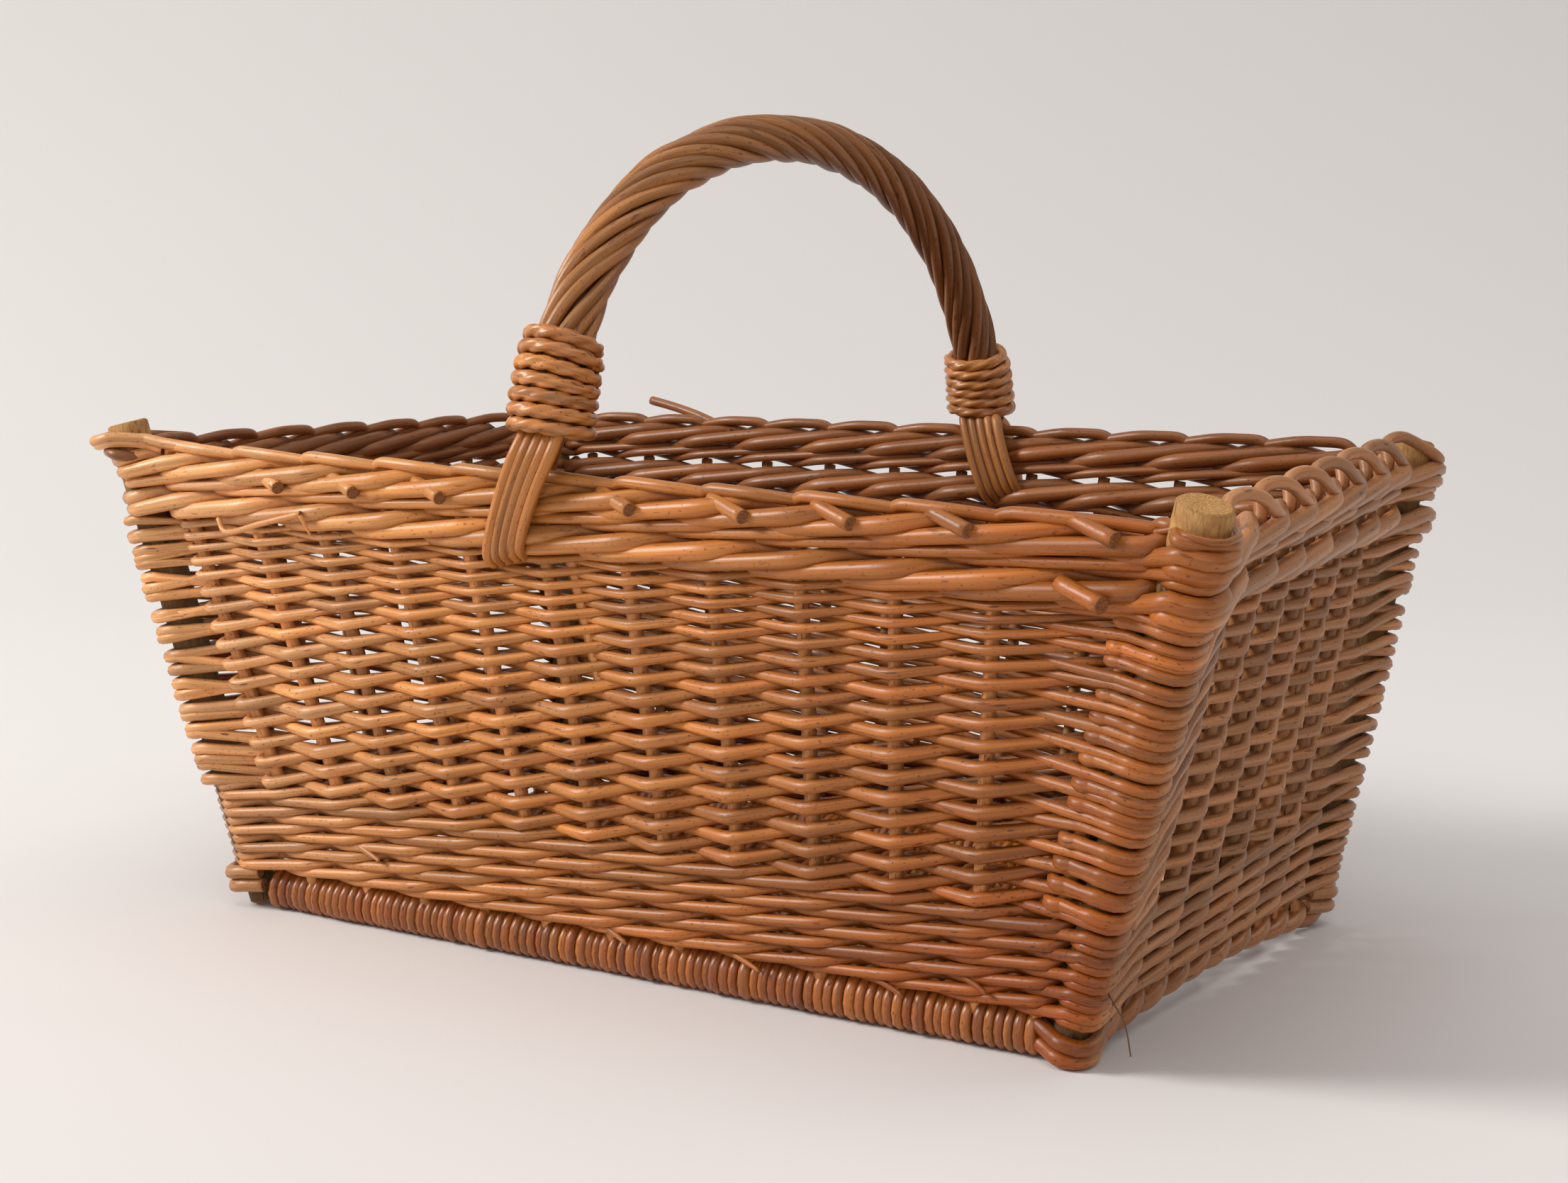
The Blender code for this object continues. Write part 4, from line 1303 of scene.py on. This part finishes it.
def build_fans():
    """Five rods on each face of the rim carry each handle leg down into the weave."""
    for side, inset, foot_share, inner_share, start_rise in FANS:
        leg, _ = leg_at(side, binding_foot(side) + start_rise)
        for face, outward in (("outer", 1), ("inner", -1)):
            node = f"{side}_{face}_handle_fan"
            low, high = box_of(node)
            top_x, foot_x = (high[0], low[0]) if side == "front" else (low[0], high[0])
            top_x, foot_x = top_x - inset * 0.75, foot_x + inset * foot_share
            # painted shade: the rods of the inner fan are darker, on the shaded inside of the rim
            inward, shade = (inset * inner_share, 0.72) if face == "inner" else (0.0, 1.0)
            start_y = outward * (-LEG_DEPTH if side == "front" else LEG_DEPTH)
            rods = Rods()
            for share in np.linspace(-0.5, 0.5, 5):
                controls = [leg + [share * FAN_SPREAD + inset * 0.2 - inward * 0.8, start_y, 0.0]]
                for drop, stand_off in FAN_STATIONS:
                    x = lerp(top_x, foot_x, drop) + share * lerp(17.0, 16.0, drop) * MM - inward
                    z = lerp(high[2], low[2], drop) + 4 * MM * share * drop
                    controls.append(wall_point(side, x, z, outward * stand_off * MM))
                points = through(controls)
                radius = FAN_ROD * (1 - 0.15 * np.linspace(0, 1, len(points)))
                colour = mixed(HONEY, ORANGE, 0.3) * rod_brightness(0.12) * shade
                rods.add(points, radius, colour, sides=10)
            rods.build(f"{node}_rods", handle_willow, "handle", [node])


# --- floor, light and camera ---

VIEW_TURN = 33.2            # degrees that the floor is turned, to lie square to the camera
FLOOR_NEAR = -4.0
FLOOR_FAR = 1.0             # where the floor starts to curve up into the backdrop
COVE_RADIUS = 2.5
FLOOR_HALF = 5.0            # half its width
BACKDROP_TOP = 5.0
MIDDLE = (0.0, 0.0, 0.1)
# Lights: place, aim, width and height, power and colour
LIGHTS = {"key": ((-2.85, -2.05, 2.2), MIDDLE, (1.4, 1.4), 154, (1.0, 0.98, 0.95)),
          "fill": ((1.4, -1.9, 1.0), MIDDLE, (1.6, 1.2), 10, (0.97, 0.98, 1.0)),
          "overhead": ((0.3, -0.3, 2.5), (0.3, -0.1, 0.0), (2.4, 2.4), 22, (1.0, 0.995, 0.99)),
          "backdrop": ((1.5, 1.1, 2.0), (0.1, 3.4, 0.8), (1.5, 1.5), 19, (1.0, 0.985, 0.975))}
WORLD_LIGHT = srgb(228, 222, 220)
WORLD_STRENGTH = 0.39
CAMERA_PLACE = (0.5187, -0.7961, 0.2627)
CAMERA_TURN = (90 - 7.335, 0.0, 33.205)
CAMERA_LENS = 52.0


def linked(name, data):
    item = bpy.data.objects.new(name, data)
    bpy.context.scene.collection.objects.link(item)
    return item


def build_floor():
    """Pale floor that curves up into a backdrop far behind the basket."""
    arc = np.linspace(0, TAU / 4, 24)
    profile = [(FLOOR_NEAR, 0.0)]
    profile += [(FLOOR_FAR + COVE_RADIUS * math.sin(a), COVE_RADIUS * (1 - math.cos(a))) for a in arc]
    profile.append((FLOOR_FAR + COVE_RADIUS, BACKDROP_TOP))
    turn = math.radians(VIEW_TURN)
    right = np.array([math.cos(turn), math.sin(turn), 0])
    forward = np.array([-math.sin(turn), math.cos(turn), 0])
    vertices = [tuple(forward * y + UP * z + right * side)
                for y, z in profile for side in (-FLOOR_HALF, FLOOR_HALF)]
    faces = [(2 * i, 2 * i + 1, 2 * i + 3, 2 * i + 2) for i in range(len(profile) - 1)]
    mesh = bpy.data.meshes.new("floor")
    mesh.from_pydata(vertices, [], faces)
    mesh.polygons.foreach_set("use_smooth", [True] * len(faces))
    material, n = new_material("pale_floor")
    n.finish((*FLOOR, 1.0), Roughness=0.75, Specular_IOR_Level=0.2)
    mesh.materials.append(material)
    linked("floor", mesh)


def build_lights():
    for name, (place, aim, (width, height), power, colour) in LIGHTS.items():
        data = bpy.data.lights.new(name, "AREA")
        data.shape = "RECTANGLE"
        data.size = width
        data.size_y = height
        data.energy = power
        data.color = colour
        light = linked(name, data)
        light.location = place
        away = unit(np.array(place) - np.array(aim))
        light.rotation_euler = (math.acos(away[2]), 0.0, math.atan2(away[0], -away[1]))
    world = bpy.data.worlds.new("studio")
    world.use_nodes = True
    background = world.node_tree.nodes["Background"]
    background.inputs[0].default_value = (*WORLD_LIGHT, 1.0)
    background.inputs[1].default_value = WORLD_STRENGTH
    bpy.context.scene.world = world
    bpy.context.scene.view_settings.view_transform = "Standard"


def build_camera():
    data = bpy.data.cameras.new("camera")
    data.lens = CAMERA_LENS
    data.sensor_width = 36.0
    camera = linked("camera", data)
    camera.location = CAMERA_PLACE
    camera.rotation_euler = [math.radians(angle) for angle in CAMERA_TURN]
    bpy.context.scene.camera = camera


# --- everything ---

build_camera()
build_floor()
build_lights()
build_posts()
build_stakes()
build_siding()
build_upsett()
build_top_wale()
build_border()
build_loose_ends()
build_base()
build_corner_feet()
build_roping()
build_bindings()
build_fans()
